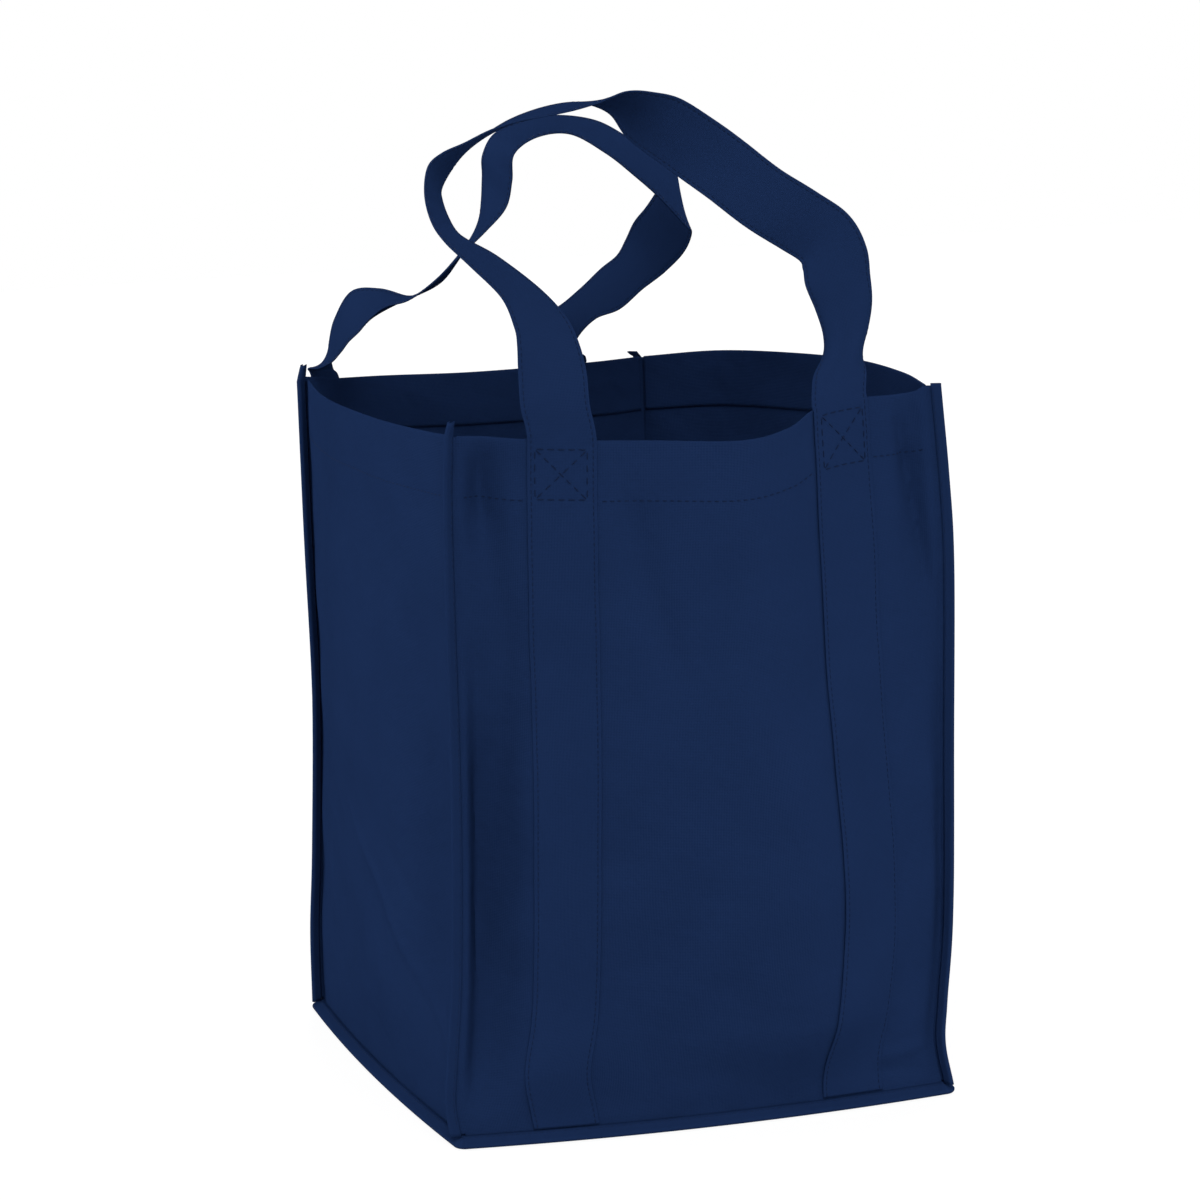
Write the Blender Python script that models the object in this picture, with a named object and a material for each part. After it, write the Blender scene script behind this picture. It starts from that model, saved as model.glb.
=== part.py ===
"""A non-woven tote bag that stands open and empty, in metres.

The front panel faces -Y and the left gusset is at -X. The origin is on the surface that the bag
stands on, under its middle. Four walls and a bottom are cut from one thin cloth. Every wall's top is
folded in as a hem, and its side and bottom margins are turned outward. A tape is folded round the
margins of each corner seam and round the bottom seam. Two straps are sewn up the outside of the front
and the back, and each one leaves the rim as a free, twisted loop.

A wall is a surface with two parameters: u runs from one corner seam to the next, anticlockwise seen
from above, and t runs from the bottom seam to the rim.
"""

import math

import bpy
import numpy as np

# The bag, measured between its seams
WIDTH = 0.290
DEPTH = 0.268
HEIGHT = 0.394

# The cloth and how it is sewn
CLOTH = 0.0005
HEM = 0.034
MARGIN = 0.007
TAPE = 0.0005
CLEAR = 0.0003

# The straps
STRAP_WIDTH = 0.038
STRAP_THICKNESS = 0.0010
STRAP_INSET = 0.039
STRAP_CLEAR = 0.0004

# The bottom seam: its margins slope down and outward, so that the tape's fold stands on the floor
SEAM_SLOPE = math.radians(35)
SKIRT = 0.018

# Spacing of the surfaces' rows and columns
ROW_STEP = 0.025
COLUMN_STEP = 0.022
CORNER_STRIP = 0.0025
FLOOR_STEP = 0.024
LOOP_STEPS = 3
TAPE_FOLD_STEPS = 4

# Distances that follow from the sizes above
LAYER = (CLEAR + CLOTH) / 2
TAPE_OFFSET = CLEAR / 2 + CLOTH + CLEAR + TAPE / 2
FOLD_RADIUS = TAPE_OFFSET + 0.0001
FOLD_REACH = MARGIN + 0.0001
TAPE_START = 0.0008
CORNER_TAPE_START = 0.0026
SEAM_Z = FOLD_REACH * math.sin(SEAM_SLOPE) + FOLD_RADIUS + TAPE / 2
SEAM_CLEAR = 0.0035
HEM_STEP = CLOTH + CLEAR

NAVY = (0.0100, 0.0232, 0.0763)
NAVY_TAPE = (0.0092, 0.0212, 0.0700)

# The corner seams. Each has its corner of the plan, how much higher its rim is, how far the tape's tab
# stands over the rim and the angle at the tab's top. Then come its places: the share of the height,
# how far it stands from that corner along X and Y, and the angle from +X at which the sewn margins
# stand out there.
CORNERS = {
    "front_left": ((-1, -1), 0.0025, (0.009, 238), (
        (0.00, -0.0015, 0.0026, 176), (0.05, -0.0040, 0.0034, 174), (0.12, -0.0022, 0.0026, 171),
        (0.25, 0.0010, 0.0012, 172), (0.50, 0.0020, 0.0000, 192), (0.87, 0.0002, 0.0006, 212),
        (1.00, 0.0010, 0.0000, 218))),
    "front_right": ((1, -1), 0.0108, (0.0012, 338), (
        (0.00, -0.0081, -0.0262, 293), (0.06, -0.0106, -0.0206, 292), (0.12, -0.0076, -0.0172, 290),
        (0.25, -0.0015, -0.0119, 292), (0.50, 0.0006, -0.0054, 310), (0.75, 0.0011, -0.0026, 330),
        (0.87, -0.0017, -0.0018, 336), (1.00, -0.0066, -0.0008, 338))),
    "back_right": ((1, 1), -0.0045, (0.0035, 150), (
        (0.00, 0.0000, 0.0000, 45), (0.25, -0.0295, 0.0055, 62), (0.50, -0.0500, 0.0100, 80),
        (0.75, -0.0615, 0.0135, 92), (1.00, -0.0640, 0.0160, 102))),
    "back_left": ((-1, 1), -0.0015, (0.010, 240), (
        (0.00, -0.0012, 0.0022, 198), (0.12, -0.0013, 0.0023, 203), (0.25, 0.0007, 0.0013, 210),
        (0.50, 0.0030, 0.0000, 218), (0.75, 0.0015, 0.0008, 218), (1.00, 0.0005, 0.0014, 218))),
}

# How far each wall's bottom seam bows outward
FOOT_BOWS = {"front": 0.009, "right": 0.003, "back": 0.004, "left": 0.005}

# The rim of each wall between its corners: the share of the way, how far it bows outward and how far
# it sags below the line between the corners.
RIMS = {
    "front": ((0.19, 0.016, 0.0055), (0.37, 0.022, 0.010), (0.56, 0.023, 0.0155), (0.67, 0.018, 0.0125),
              (0.75, 0.008, 0.0047), (0.86, 0.002, 0.003), (0.96, 0.001, 0.0038)),
    "right": ((0.15, 0.017, -0.003), (0.38, 0.034, -0.005), (0.62, 0.037, -0.005), (0.84, 0.026, -0.004)),
    "back": ((0.22, 0.026, 0.006), (0.44, 0.049, 0.010), (0.66, 0.059, 0.010), (0.79, 0.0545, 0.009),
             (0.85, 0.045, 0.0075), (0.915, 0.031, 0.004), (0.985, 0.017, 0.001)),
    "left": ((0.20, 0.008, 0.002), (0.43, 0.014, 0.001), (0.69, 0.013, 0.001), (0.87, 0.006, 0.001)),
}

# The soft forms of each wall: where the middle is (u, t), how far it reaches (u, t), how far it comes
# outward and how far it slides along the wall.
FORMS = {
    "front": (
        (0.66, 0.30, 0.20, 0.34, 0.022, 0.000),
        (0.45, 0.55, 0.30, 0.30, 0.008, 0.000),
        (0.07, 0.32, 0.09, 0.20, -0.009, 0.000),
        (0.06, 0.90, 0.05, 0.12, -0.005, 0.000),
        (0.93, 0.86, 0.04, 0.14, -0.004, 0.000),
        (0.80, 0.28, 0.16, 0.24, 0.000, 0.008),
        (0.90, 0.05, 0.12, 0.06, -0.004, 0.000),
        (0.21, 0.06, 0.10, 0.07, 0.004, -0.010),
    ),
    "right": (
        (0.50, 0.45, 0.30, 0.35, 0.010, 0.000),
    ),
    "back": (
        (0.50, 0.45, 0.32, 0.32, 0.012, 0.000),
        (0.10, 0.85, 0.07, 0.15, -0.005, 0.000),
    ),
    "left": (
        (0.40, 0.50, 0.25, 0.35, 0.008, 0.000),
        (0.82, 0.42, 0.09, 0.24, -0.007, 0.000),
        (0.60, 0.14, 0.16, 0.10, 0.005, 0.000),
    ),
}

WALLS = {
    "front": ("front_left", "front_right"),
    "right": ("front_right", "back_right"),
    "back": ("back_right", "back_left"),
    "left": ("back_left", "front_left"),
}

# The free loops. A station is the share of the way between the two legs, how far the strap has come
# in over the bag and how far it is above the rim, then the way that its width points, from the edge
# outside the loop to the edge inside it, and by what angle its width is curled back.
FRONT_LOOP = (
    ((-0.52, 0.001, 0.020), (0.98, -0.18, -0.02), 0.0),
    ((-0.518, 0.005, 0.037), (0.99, -0.09, 0.00), 0.0),
    ((-0.52, 0.011, 0.053), (0.98, 0.19, 0.03), 0.0),
    ((-0.53, 0.018, 0.064), (0.91, 0.40, 0.08), 0.0),
    ((-0.57, 0.030, 0.079), (0.78, 0.62, 0.04), 0.0),
    ((-0.66, 0.045, 0.096), (0.68, 0.74, 0.03), 0.0),
    ((-0.73, 0.055, 0.107), (0.62, 0.78, -0.08), 0.0),
    ((-0.76, 0.061, 0.115), (0.63, 0.74, -0.24), 0.0),
    ((-0.77, 0.068, 0.126), (0.58, 0.70, -0.41), 0.0),
    ((-0.76, 0.074, 0.137), (0.44, 0.70, -0.56), 0.0),
    ((-0.73, 0.077, 0.143), (0.24, 0.77, -0.59), 0.0),
    ((-0.67, 0.080, 0.149), (0.05, 0.86, -0.50), 0.0),
    ((-0.59, 0.085, 0.156), (-0.10, 0.91, -0.40), 0.0),
    ((-0.49, 0.090, 0.162), (-0.15, 0.96, -0.25), 0.0),
    ((-0.39, 0.093, 0.166), (-0.13, 0.99, -0.09), 0.0),
    ((-0.28, 0.094, 0.169), (-0.08, 1.00, -0.01), 0.0),
    ((-0.18, 0.094, 0.171), (-0.03, 1.00, -0.05), 0.0),
    ((-0.12, 0.093, 0.171), (0.07, 0.98, -0.18), 0.0),
    ((-0.06, 0.091, 0.169), (0.08, 0.91, -0.41), 0.0),
    ((0.00, 0.086, 0.162), (-0.15, 0.70, -0.70), 0.0),
    ((0.08, 0.080, 0.154), (-0.37, 0.39, -0.84), 0.0),
    ((0.17, 0.073, 0.142), (-0.52, 0.26, -0.81), 0.0),
    ((0.26, 0.065, 0.129), (-0.63, 0.07, -0.77), 0.0),
    ((0.37, 0.055, 0.112), (-0.61, 0.06, -0.79), 0.0),
    ((0.48, 0.045, 0.098), (-0.50, 0.24, -0.83), 0.0),
    ((0.55, 0.037, 0.088), (-0.63, 0.31, -0.71), 0.0),
    ((0.57, 0.030, 0.077), (-0.87, 0.36, -0.33), 0.2),
    ((0.57, 0.025, 0.065), (-0.95, 0.28, -0.12), 0.7),
    ((0.58, 0.019, 0.052), (-0.96, 0.20, -0.08), 1.9),
    ((0.576, 0.013, 0.039), (-0.98, 0.10, -0.08), 2.9),
    ((0.555, 0.008, 0.027), (-0.98, -0.05, -0.08), 3.1),
    ((0.52, 0.003, 0.014), (-0.98, -0.16, -0.10), 0.9),
)
BACK_LOOP = (
    ((-0.522, 0.001, 0.007), (0.65, 0.75, -0.13), 0.0),
    ((-0.517, 0.007, 0.013), (0.46, 0.88, 0.13), 0.0),
    ((-0.503, 0.014, 0.0195), (0.27, 0.93, 0.24), 0.0),
    ((-0.493, 0.024, 0.030), (0.21, 0.86, 0.47), 0.0),
    ((-0.467, 0.038, 0.043), (0.28, 0.60, 0.75), 0.0),
    ((-0.42, 0.054, 0.0485), (0.55, 0.58, 0.60), 0.0),
    ((-0.37, 0.069, 0.0515), (0.82, 0.52, 0.26), 0.0),
    ((-0.33, 0.082, 0.0575), (0.83, 0.53, 0.13), 0.0),
    ((-0.28, 0.097, 0.064), (0.81, 0.54, 0.23), 0.0),
    ((-0.23, 0.111, 0.076), (0.73, 0.59, 0.35), 0.0),
    ((-0.20, 0.124, 0.087), (0.66, 0.64, 0.39), 0.0),
    ((-0.17, 0.134, 0.098), (0.54, 0.76, 0.36), 0.0),
    ((-0.137, 0.143, 0.112), (0.25, 0.89, 0.39), 0.0),
    ((-0.108, 0.149, 0.126), (-0.05, 0.91, 0.42), 0.0),
    ((-0.108, 0.155, 0.140), (-0.13, 0.93, 0.33), 0.0),
    ((-0.087, 0.159, 0.154), (0.04, 0.97, 0.24), 0.0),
    ((0.01, 0.161, 0.162), (0.10, 0.98, 0.16), 0.0),
    ((0.14, 0.162, 0.164), (0.08, 0.97, 0.22), 0.0),
    ((0.30, 0.160, 0.156), (0.15, 0.88, 0.45), 0.0),
    ((0.43, 0.156, 0.144), (0.20, 0.82, 0.54), 0.0),
    ((0.54, 0.152, 0.132), (0.19, 0.76, 0.62), 0.0),
    ((0.67, 0.142, 0.117), (0.14, 0.62, 0.77), 0.0),
    ((0.70, 0.127, 0.110), (-0.22, 0.59, 0.77), 0.0),
    ((0.68, 0.115, 0.096), (-0.38, 0.61, 0.70), 0.0),
    ((0.65, 0.103, 0.0852), (-0.30, 0.58, 0.76), 0.0),
    ((0.61, 0.091, 0.073), (0.00, 0.67, 0.74), 0.0),
    ((0.57, 0.080, 0.0612), (0.20, 0.56, 0.82), 0.0),
    ((0.52, 0.066, 0.053), (0.33, 0.61, 0.72), 0.0),
    ((0.48, 0.050, 0.0407), (0.28, 0.70, 0.62), 0.0),
    ((0.46, 0.033, 0.029), (0.05, 0.80, 0.58), 0.0),
    ((0.46, 0.017, 0.0205), (-0.50, 0.65, 0.50), 0.0),
    ((0.48, 0.005, 0.010), (-0.84, 0.50, 0.14), 0.0),
)


def ease(x):
    """Rises smoothly from 0 to 1 between x = 0 and x = 1."""
    x = np.clip(x, 0.0, 1.0)
    return x * x * (3.0 - 2.0 * x)


def unit(vectors):
    """The same vectors at length one."""
    vectors = np.asarray(vectors, float)
    return vectors / np.linalg.norm(vectors, axis=-1, keepdims=True)


def through(points, steps):
    """A smooth Catmull-Rom line through the points, with a number of steps between each two."""
    points = np.asarray(points, float)
    ends = np.vstack([2 * points[0] - points[1], points, 2 * points[-1] - points[-2]])
    share = (np.arange(steps) / steps)[:, None]
    spans = []
    for a, b, c, d in zip(ends[:-3], ends[1:-2], ends[2:-1], ends[3:]):
        bend = 2 * a - 5 * b + 4 * c - d
        turn = 3 * b - a - 3 * c + d
        spans.append(b + 0.5 * ((c - a) * share + bend * share**2 + turn * share**3))
    return np.vstack(spans + [points[-1:]])


def along_line(points, shares):
    """The places at the given shares of a line's length."""
    steps = np.linalg.norm(np.diff(points, axis=0), axis=1)
    travelled = np.concatenate([[0.0], np.cumsum(steps)]) / steps.sum()
    return np.stack([np.interp(shares, travelled, points[:, k]) for k in range(points.shape[1])], axis=-1)


def across(vector):
    """The level direction to the right of a level vector, which is outward from a wall."""
    return np.stack([vector[..., 1], -vector[..., 0], 0 * vector[..., 0]], axis=-1)


def corner_ends(name):
    """The foot and the rim of a corner seam."""
    (side_x, side_y), lift, _, places = CORNERS[name]
    plan = np.array([side_x * WIDTH / 2, side_y * DEPTH / 2])
    low = np.array([*(plan + places[0][1:3]), SEAM_Z])
    high = np.array([*(plan + places[-1][1:3]), SEAM_Z + HEIGHT + lift])
    return low, high


def corner_line(name, t):
    """A corner seam at the heights t: a smooth line through its places, straight on above the rim."""
    low, high = corner_ends(name)
    (side_x, side_y), _, _, places = CORNERS[name]
    rows = through(np.array(places)[:, :3], 8)
    t = np.asarray(t, float)
    inside = np.minimum(t, 1.0)
    x = side_x * WIDTH / 2 + np.interp(inside, rows[:, 0], rows[:, 1])
    y = side_y * DEPTH / 2 + np.interp(inside, rows[:, 0], rows[:, 2])
    line = np.stack([x, y, low[2] + (high[2] - low[2]) * inside], axis=-1)
    return line + (high - low) * (t - inside)[..., None]


def flange_direction(name, t):
    """The way in which a corner's sewn margins stand out, at the heights t."""
    _, _, (tab, tab_angle), places = CORNERS[name]
    heights = [place[0] for place in places] + [1 + tab / HEIGHT]
    angles = np.radians(np.interp(t, heights, [place[3] for place in places] + [tab_angle]))
    return np.stack([np.cos(angles), np.sin(angles), 0 * angles], axis=-1)


def wall_side(wall):
    """A wall's level direction along its bottom seam, from its first corner to its second."""
    first, second = WALLS[wall]
    return unit(corner_ends(second)[0] - corner_ends(first)[0])


def foot_line(wall, u):
    """A wall's bottom seam at the shares u of the way between its corners."""
    first, second = WALLS[wall]
    low_a, low_b = corner_ends(first)[0], corner_ends(second)[0]
    u = np.asarray(u, float)[..., None]
    bow = across(wall_side(wall)) * FOOT_BOWS[wall]
    return low_a + (low_b - low_a) * u + bow * 4 * u * (1 - u)


def seam_shift(wall, corner, t):
    """How far a wall's cloth lies to its own side of a corner seam's middle."""
    facing = -1.0 if corner == WALLS[wall][0] else 1.0
    return across(flange_direction(corner, t)) * facing * LAYER


def foot_directions(wall):
    """Down the slope of a wall's bottom margin, and square to it, upward."""
    out = across(wall_side(wall))
    up = np.array([0.0, 0.0, 1.0])
    down_slope = out * math.cos(SEAM_SLOPE) - up * math.sin(SEAM_SLOPE)
    off_slope = out * math.sin(SEAM_SLOPE) + up * math.cos(SEAM_SLOPE)
    return down_slope, off_slope


def wall_surface(wall, u, t):
    """The middle of a wall's cloth on the grid of u by t.

    It runs from the bottom seam to the rim, both bowed, meets both corner seams at all heights,
    and carries the soft forms, which fade out at its edges.
    """
    first, second = WALLS[wall]
    u_grid, t_grid = np.meshgrid(u, t, indexing="ij")
    blend = t_grid[..., None]
    low_a, high_a = corner_ends(first)
    low_b, high_b = corner_ends(second)
    foot = foot_line(wall, u)
    chord = high_b - high_a
    out = unit(across(chord))
    stations = [high_a]
    for share, bow, sag in RIMS[wall]:
        stations.append(high_a + chord * share + out * bow - np.array([0.0, 0.0, sag]))
    rim = along_line(through(stations + [high_b], 8), u)
    points = foot[:, None] * (1 - blend) + rim[:, None] * blend

    share = u_grid[..., None]
    for corner, weight in ((first, (1 - share) ** 4), (second, share**4)):
        low, high = corner_ends(corner)
        straight = low + (high - low) * blend
        points += weight * (corner_line(corner, t_grid) - straight + seam_shift(wall, corner, t_grid))

    fade = ease(np.minimum(u_grid, 1 - u_grid) / 0.07) * ease(t_grid / 0.10)
    side = wall_side(wall)
    for u_mid, t_mid, u_reach, t_reach, outward, slide in FORMS[wall]:
        bump = np.exp(-(((u_grid - u_mid) / u_reach) ** 2) - ((t_grid - t_mid) / t_reach) ** 2)
        points += (bump * fade)[..., None] * (across(side) * outward + side * slide)
    off_slope = foot_directions(wall)[1]
    points += (1 - ease(t_grid / 0.02))[..., None] * off_slope * LAYER
    return points


def normals(points):
    """The outward direction at each point of a wall's grid."""
    along = np.gradient(points, axis=0)
    upward = np.gradient(points, axis=1)
    return unit(np.cross(along, upward))


def wall_columns(wall):
    """Where a wall's columns are. Those with a strap have columns along the strap's edges."""
    length = WIDTH if wall in ("front", "back") else DEPTH
    marks = [0.0, CORNER_STRIP]
    if wall in ("front", "back"):
        marks += [STRAP_INSET, STRAP_INSET + STRAP_WIDTH]
        marks += [length - mark for mark in reversed(marks)]
    else:
        marks += [length - CORNER_STRIP, length]
    columns = [0.0]
    for low, high in zip(marks[:-1], marks[1:]):
        step = STRAP_WIDTH / 3 if abs(high - low - STRAP_WIDTH) < 1e-6 else COLUMN_STEP
        count = max(1, math.ceil((high - low) / step - 1e-6))
        columns += [low + (high - low) * (k + 1) / count for k in range(count)]
    return np.array(columns) / length


def wall_rows():
    """Where the rows are, with one just above the bottom seam and one at the hem's lower edge."""
    marks = [0.0, SEAM_CLEAR, HEIGHT - HEM, HEIGHT]
    rows = [0.0]
    for low, high in zip(marks[:-1], marks[1:]):
        count = max(1, math.ceil((high - low) / ROW_STEP - 1e-6))
        rows += [low + (high - low) * (k + 1) / count for k in range(count)]
    return np.array(rows) / HEIGHT


def sheet_object(name, points, used, thickness, colour, closed=False):
    """A thin sheet: the used cells of a grid of points, given its thickness by a Solidify modifier.

    The grid's normals, from its first direction to its second, point outward.
    """
    rows, columns = points.shape[:2]
    number = -np.ones((rows, columns), int)
    faces = []
    for i in range(rows if closed else rows - 1):
        for j in range(columns - 1):
            if used[i, j]:
                k = (i + 1) % rows
                faces.append(((i, j), (k, j), (k, j + 1), (i, j + 1)))
    kept = sorted({corner for face in faces for corner in face})
    for index, corner in enumerate(kept):
        number[corner] = index
    mesh = bpy.data.meshes.new(name)
    places = [tuple(points[corner]) for corner in kept]
    mesh.from_pydata(places, [], [[int(number[corner]) for corner in face] for face in faces])
    mesh.validate()
    body = bpy.data.objects.new(name, mesh)
    bpy.context.collection.objects.link(body)
    mesh.shade_smooth()
    mesh.set_sharp_from_angle(angle=math.radians(40))
    thick = body.modifiers.new("thickness", "SOLIDIFY")
    thick.thickness = thickness
    thick.offset = 0.0
    thick.use_even_offset = True
    body.data.materials.append(cloth_material(name, colour))
    return body


def cloth_material(name, colour):
    """A matt cloth of one colour."""
    material = bpy.data.materials.new(name + "_cloth")
    material.use_nodes = True
    shader = material.node_tree.nodes["Principled BSDF"]
    shader.inputs["Base Color"].default_value = (*colour, 1.0)
    shader.inputs["Roughness"].default_value = 0.75
    shader.inputs["Metallic"].default_value = 0.0
    return material


def make_wall(name, wall):
    """A wall of the bag, with its margins turned outward and its hem folded in."""
    u = wall_columns(wall)
    t = wall_rows()
    surface = wall_surface(wall, u, t)
    inward = -normals(surface)
    first, second = WALLS[wall]
    hem_rows = [k for k in range(len(t)) if t[k] >= 1 - HEM / HEIGHT - 1e-6]

    layers = [surface[:, k] for k in range(len(t))]
    top = surface[:, -1]
    fold_in = inward[:, -1] * HEM_STEP / 2
    layers.append(top + fold_in + np.array([0.0, 0.0, HEM_STEP / 2]))
    layers += [surface[:, k] + inward[:, k] * HEM_STEP for k in reversed(hem_rows)]
    down_slope = foot_directions(wall)[0]
    layers.insert(0, surface[:, 0] + down_slope * MARGIN)
    body = np.stack(layers, axis=1)

    rows = len(t)
    left = np.full((1, body.shape[1], 3), np.nan)
    right = left.copy()
    left[0, 1:rows + 1] = surface[0] + flange_direction(first, t) * MARGIN
    right[0, 1:rows + 1] = surface[-1] + flange_direction(second, t) * MARGIN
    body = np.concatenate([left, body, right])

    used = np.zeros((body.shape[0] - 1, body.shape[1] - 1), bool)
    used[1:-1, :rows] = True
    used[2:-2, rows:] = True
    used[0, 2:rows] = True
    used[-1, 2:rows] = True
    return sheet_object(name, body, used, CLOTH, NAVY)


def make_bottom(name):
    """The bottom panel: flat in the middle, with a low skirt up to the seam and margins beyond it."""
    shares = []
    for length in (WIDTH, DEPTH):
        inner = np.linspace(SKIRT, length - SKIRT, max(2, round(length / FLOOR_STEP)))
        shares.append(np.concatenate([[0.0, SKIRT / 3, SKIRT * 2 / 3], inner,
                                      length - np.array([SKIRT * 2 / 3, SKIRT / 3, 0.0])]) / length)
    a, b = np.meshgrid(*shares, indexing="ij")
    a3, b3 = a[..., None], b[..., None]
    front, back = foot_line("front", shares[0]), foot_line("back", 1 - shares[0])
    left, right = foot_line("left", 1 - shares[1]), foot_line("right", shares[1])
    floor = front[:, None] * (1 - b3) + back[:, None] * b3 + left * (1 - a3) + right * a3
    floor -= (front[0] * (1 - a3) + front[-1] * a3) * (1 - b3) + (back[0] * (1 - a3) + back[-1] * a3) * b3
    edge = np.minimum(np.minimum(a, 1 - a) * WIDTH, np.minimum(b, 1 - b) * DEPTH)
    rise = 1 - ease(edge / SKIRT)
    floor[..., 2] = CLOTH / 2 + (SEAM_Z - CLOTH / 2) * rise

    sides = {"front": (slice(None), 0), "back": (slice(None), -1), "left": (0, slice(None)),
             "right": (-1, slice(None))}
    for wall, place in sides.items():
        floor[place] -= foot_directions(wall)[1] * LAYER

    grid = np.full((floor.shape[0] + 2, floor.shape[1] + 2, 3), np.nan)
    grid[1:-1, 1:-1] = floor
    grid[1:-1, 0] = floor[:, 0] + foot_directions("front")[0] * MARGIN
    grid[1:-1, -1] = floor[:, -1] + foot_directions("back")[0] * MARGIN
    grid[0, 1:-1] = floor[0] + foot_directions("left")[0] * MARGIN
    grid[-1, 1:-1] = floor[-1] + foot_directions("right")[0] * MARGIN
    used = np.ones((grid.shape[0] - 1, grid.shape[1] - 1), bool)
    used[0, 0] = used[0, -1] = used[-1, 0] = used[-1, -1] = False
    return sheet_object(name, grid, used, CLOTH, NAVY)


def tape_section(start):
    """A tape's section, as distances out from the seam and across it: one leg, the fold, one leg."""
    angles = np.linspace(math.pi / 2, -math.pi / 2, TAPE_FOLD_STEPS + 1)
    out = np.concatenate([[start], FOLD_REACH + FOLD_RADIUS * np.cos(angles), [start]])
    side = np.concatenate([[TAPE_OFFSET], FOLD_RADIUS * np.sin(angles), [-TAPE_OFFSET]])
    side[1] = TAPE_OFFSET
    side[-2] = -TAPE_OFFSET
    return out, side


def make_corner_tape(name, corner):
    """The tape round a corner seam's margins, from above the bottom seam to a tab over the rim."""
    tab = CORNERS[corner][2][0]
    t = np.concatenate([wall_rows()[1:], [1 + tab / HEIGHT / 2, 1 + tab / HEIGHT]])
    place = corner_line(corner, t)
    direction = flange_direction(corner, t)
    side = across(direction)
    out, offset = tape_section(CORNER_TAPE_START)
    points = place[:, None] + direction[:, None] * out[:, None] - side[:, None] * offset[:, None]
    used = np.ones((points.shape[0] - 1, points.shape[1] - 1), bool)
    return sheet_object(name, points, used, TAPE, NAVY_TAPE)


def make_bottom_tape(name):
    """The tape round the bottom seam, one closed ring with a small fan at each corner."""
    place = []
    outward = []
    order = ("front", "right", "back", "left")
    for wall, following in zip(order, order[1:] + order[:1]):
        here, turned = across(wall_side(wall)), across(wall_side(following))
        seam = foot_line(wall, np.linspace(0.0, 1.0, 13))
        place += [*seam, seam[-1], seam[-1], seam[-1]]
        outward += [here] * len(seam)
        outward += [unit(here * (1 - share) + turned * share) for share in (0.25, 0.5, 0.75)]
    place = np.array(place)
    outward = np.array(outward)
    up = np.array([0.0, 0.0, 1.0])
    down_slope = outward * math.cos(SEAM_SLOPE) - up * math.sin(SEAM_SLOPE)
    off_slope = outward * math.sin(SEAM_SLOPE) + up * math.cos(SEAM_SLOPE)
    out, offset = tape_section(TAPE_START)
    points = place[:, None] + down_slope[:, None] * out[:, None] + off_slope[:, None] * offset[:, None]
    used = np.ones((points.shape[0], points.shape[1] - 1), bool)
    return sheet_object(name, points, used, TAPE, NAVY_TAPE, closed=True)


def strap_leg(wall, corner):
    """The rows of a strap where it lies on a wall, from the bottom tape to the rim.

    Its columns run from the edge outside the loop to the edge inside it.
    """
    columns = wall_columns(wall)
    near_first = corner == WALLS[wall][0]
    edge = STRAP_INSET / WIDTH if near_first else 1 - (STRAP_INSET + STRAP_WIDTH) / WIDTH
    kept = (columns > edge - 1e-6) & (columns < edge + STRAP_WIDTH / WIDTH + 1e-6)
    surface = wall_surface(wall, columns, wall_rows())
    over = CLOTH / 2 + STRAP_CLEAR + STRAP_THICKNESS / 2
    lifted = (surface + normals(surface) * over)[kept]
    if not near_first:
        lifted = lifted[::-1]
    return np.swapaxes(lifted, 0, 1)[1:]


def make_handle(name, wall, corners, stations):
    """A strap: up a wall, round its free loop and down the wall again, as one band."""
    up_leg, down_leg = (strap_leg(wall, corner) for corner in corners)
    start = up_leg[-1].mean(axis=0)
    end = down_leg[-1].mean(axis=0)
    middle = (start + end) / 2
    inward = unit(np.array([0.0, -middle[1], 0.0]))
    centres = [leg_row.mean(axis=0) for leg_row in up_leg[-2:]]
    widths = [unit(leg_row[-1] - leg_row[0]) for leg_row in up_leg[-2:]]
    curls = [0.0, 0.0]
    for (share, come_in, rise), width, curl in stations:
        centres.append(middle + (end - start) * share + inward * come_in + np.array([0.0, 0.0, rise]))
        widths.append(unit(width))
        curls.append(curl)
    centres += [leg_row.mean(axis=0) for leg_row in down_leg[:-3:-1]]
    widths += [unit(leg_row[-1] - leg_row[0]) for leg_row in down_leg[:-3:-1]]
    curls += [0.0, 0.0]
    free = slice(LOOP_STEPS, -LOOP_STEPS)
    line = through(centres, LOOP_STEPS)[free]
    turn = unit(through(widths, LOOP_STEPS))[free]
    curl = np.maximum(through(np.array(curls)[:, None], LOOP_STEPS)[free], 0.001)
    face_back = unit(np.cross(np.gradient(line, axis=0), turn))
    shares = np.linspace(-0.5, 0.5, up_leg.shape[1])
    sideways = np.sin(shares * curl) / curl * STRAP_WIDTH
    back = (np.cos(curl / 4) - np.cos(shares * curl)) / curl * STRAP_WIDTH
    loop = line[:, None] + turn[:, None] * sideways[..., None] + face_back[:, None] * back[..., None]
    points = np.swapaxes(np.concatenate([up_leg, loop[1:-1], down_leg[::-1]]), 0, 1)
    used = np.ones((points.shape[0] - 1, points.shape[1] - 1), bool)
    return sheet_object(name, points, used, STRAP_THICKNESS, NAVY)


def clear_scene():
    """Removes what a new file brings with it."""
    for leftover in list(bpy.data.objects):
        bpy.data.objects.remove(leftover, do_unlink=True)


def build():
    """Makes every piece of the bag."""
    clear_scene()
    make_wall("front_panel", "front")
    make_wall("right_gusset", "right")
    make_wall("back_panel", "back")
    make_wall("left_gusset", "left")
    make_bottom("bottom_panel")
    for corner in CORNERS:
        make_corner_tape("binding_" + corner, corner)
    make_bottom_tape("bottom_binding")
    make_handle("front_handle", "front", ("front_left", "front_right"), FRONT_LOOP)
    make_handle("back_handle", "back", ("back_left", "back_right"), BACK_LOOP)


build()
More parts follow.
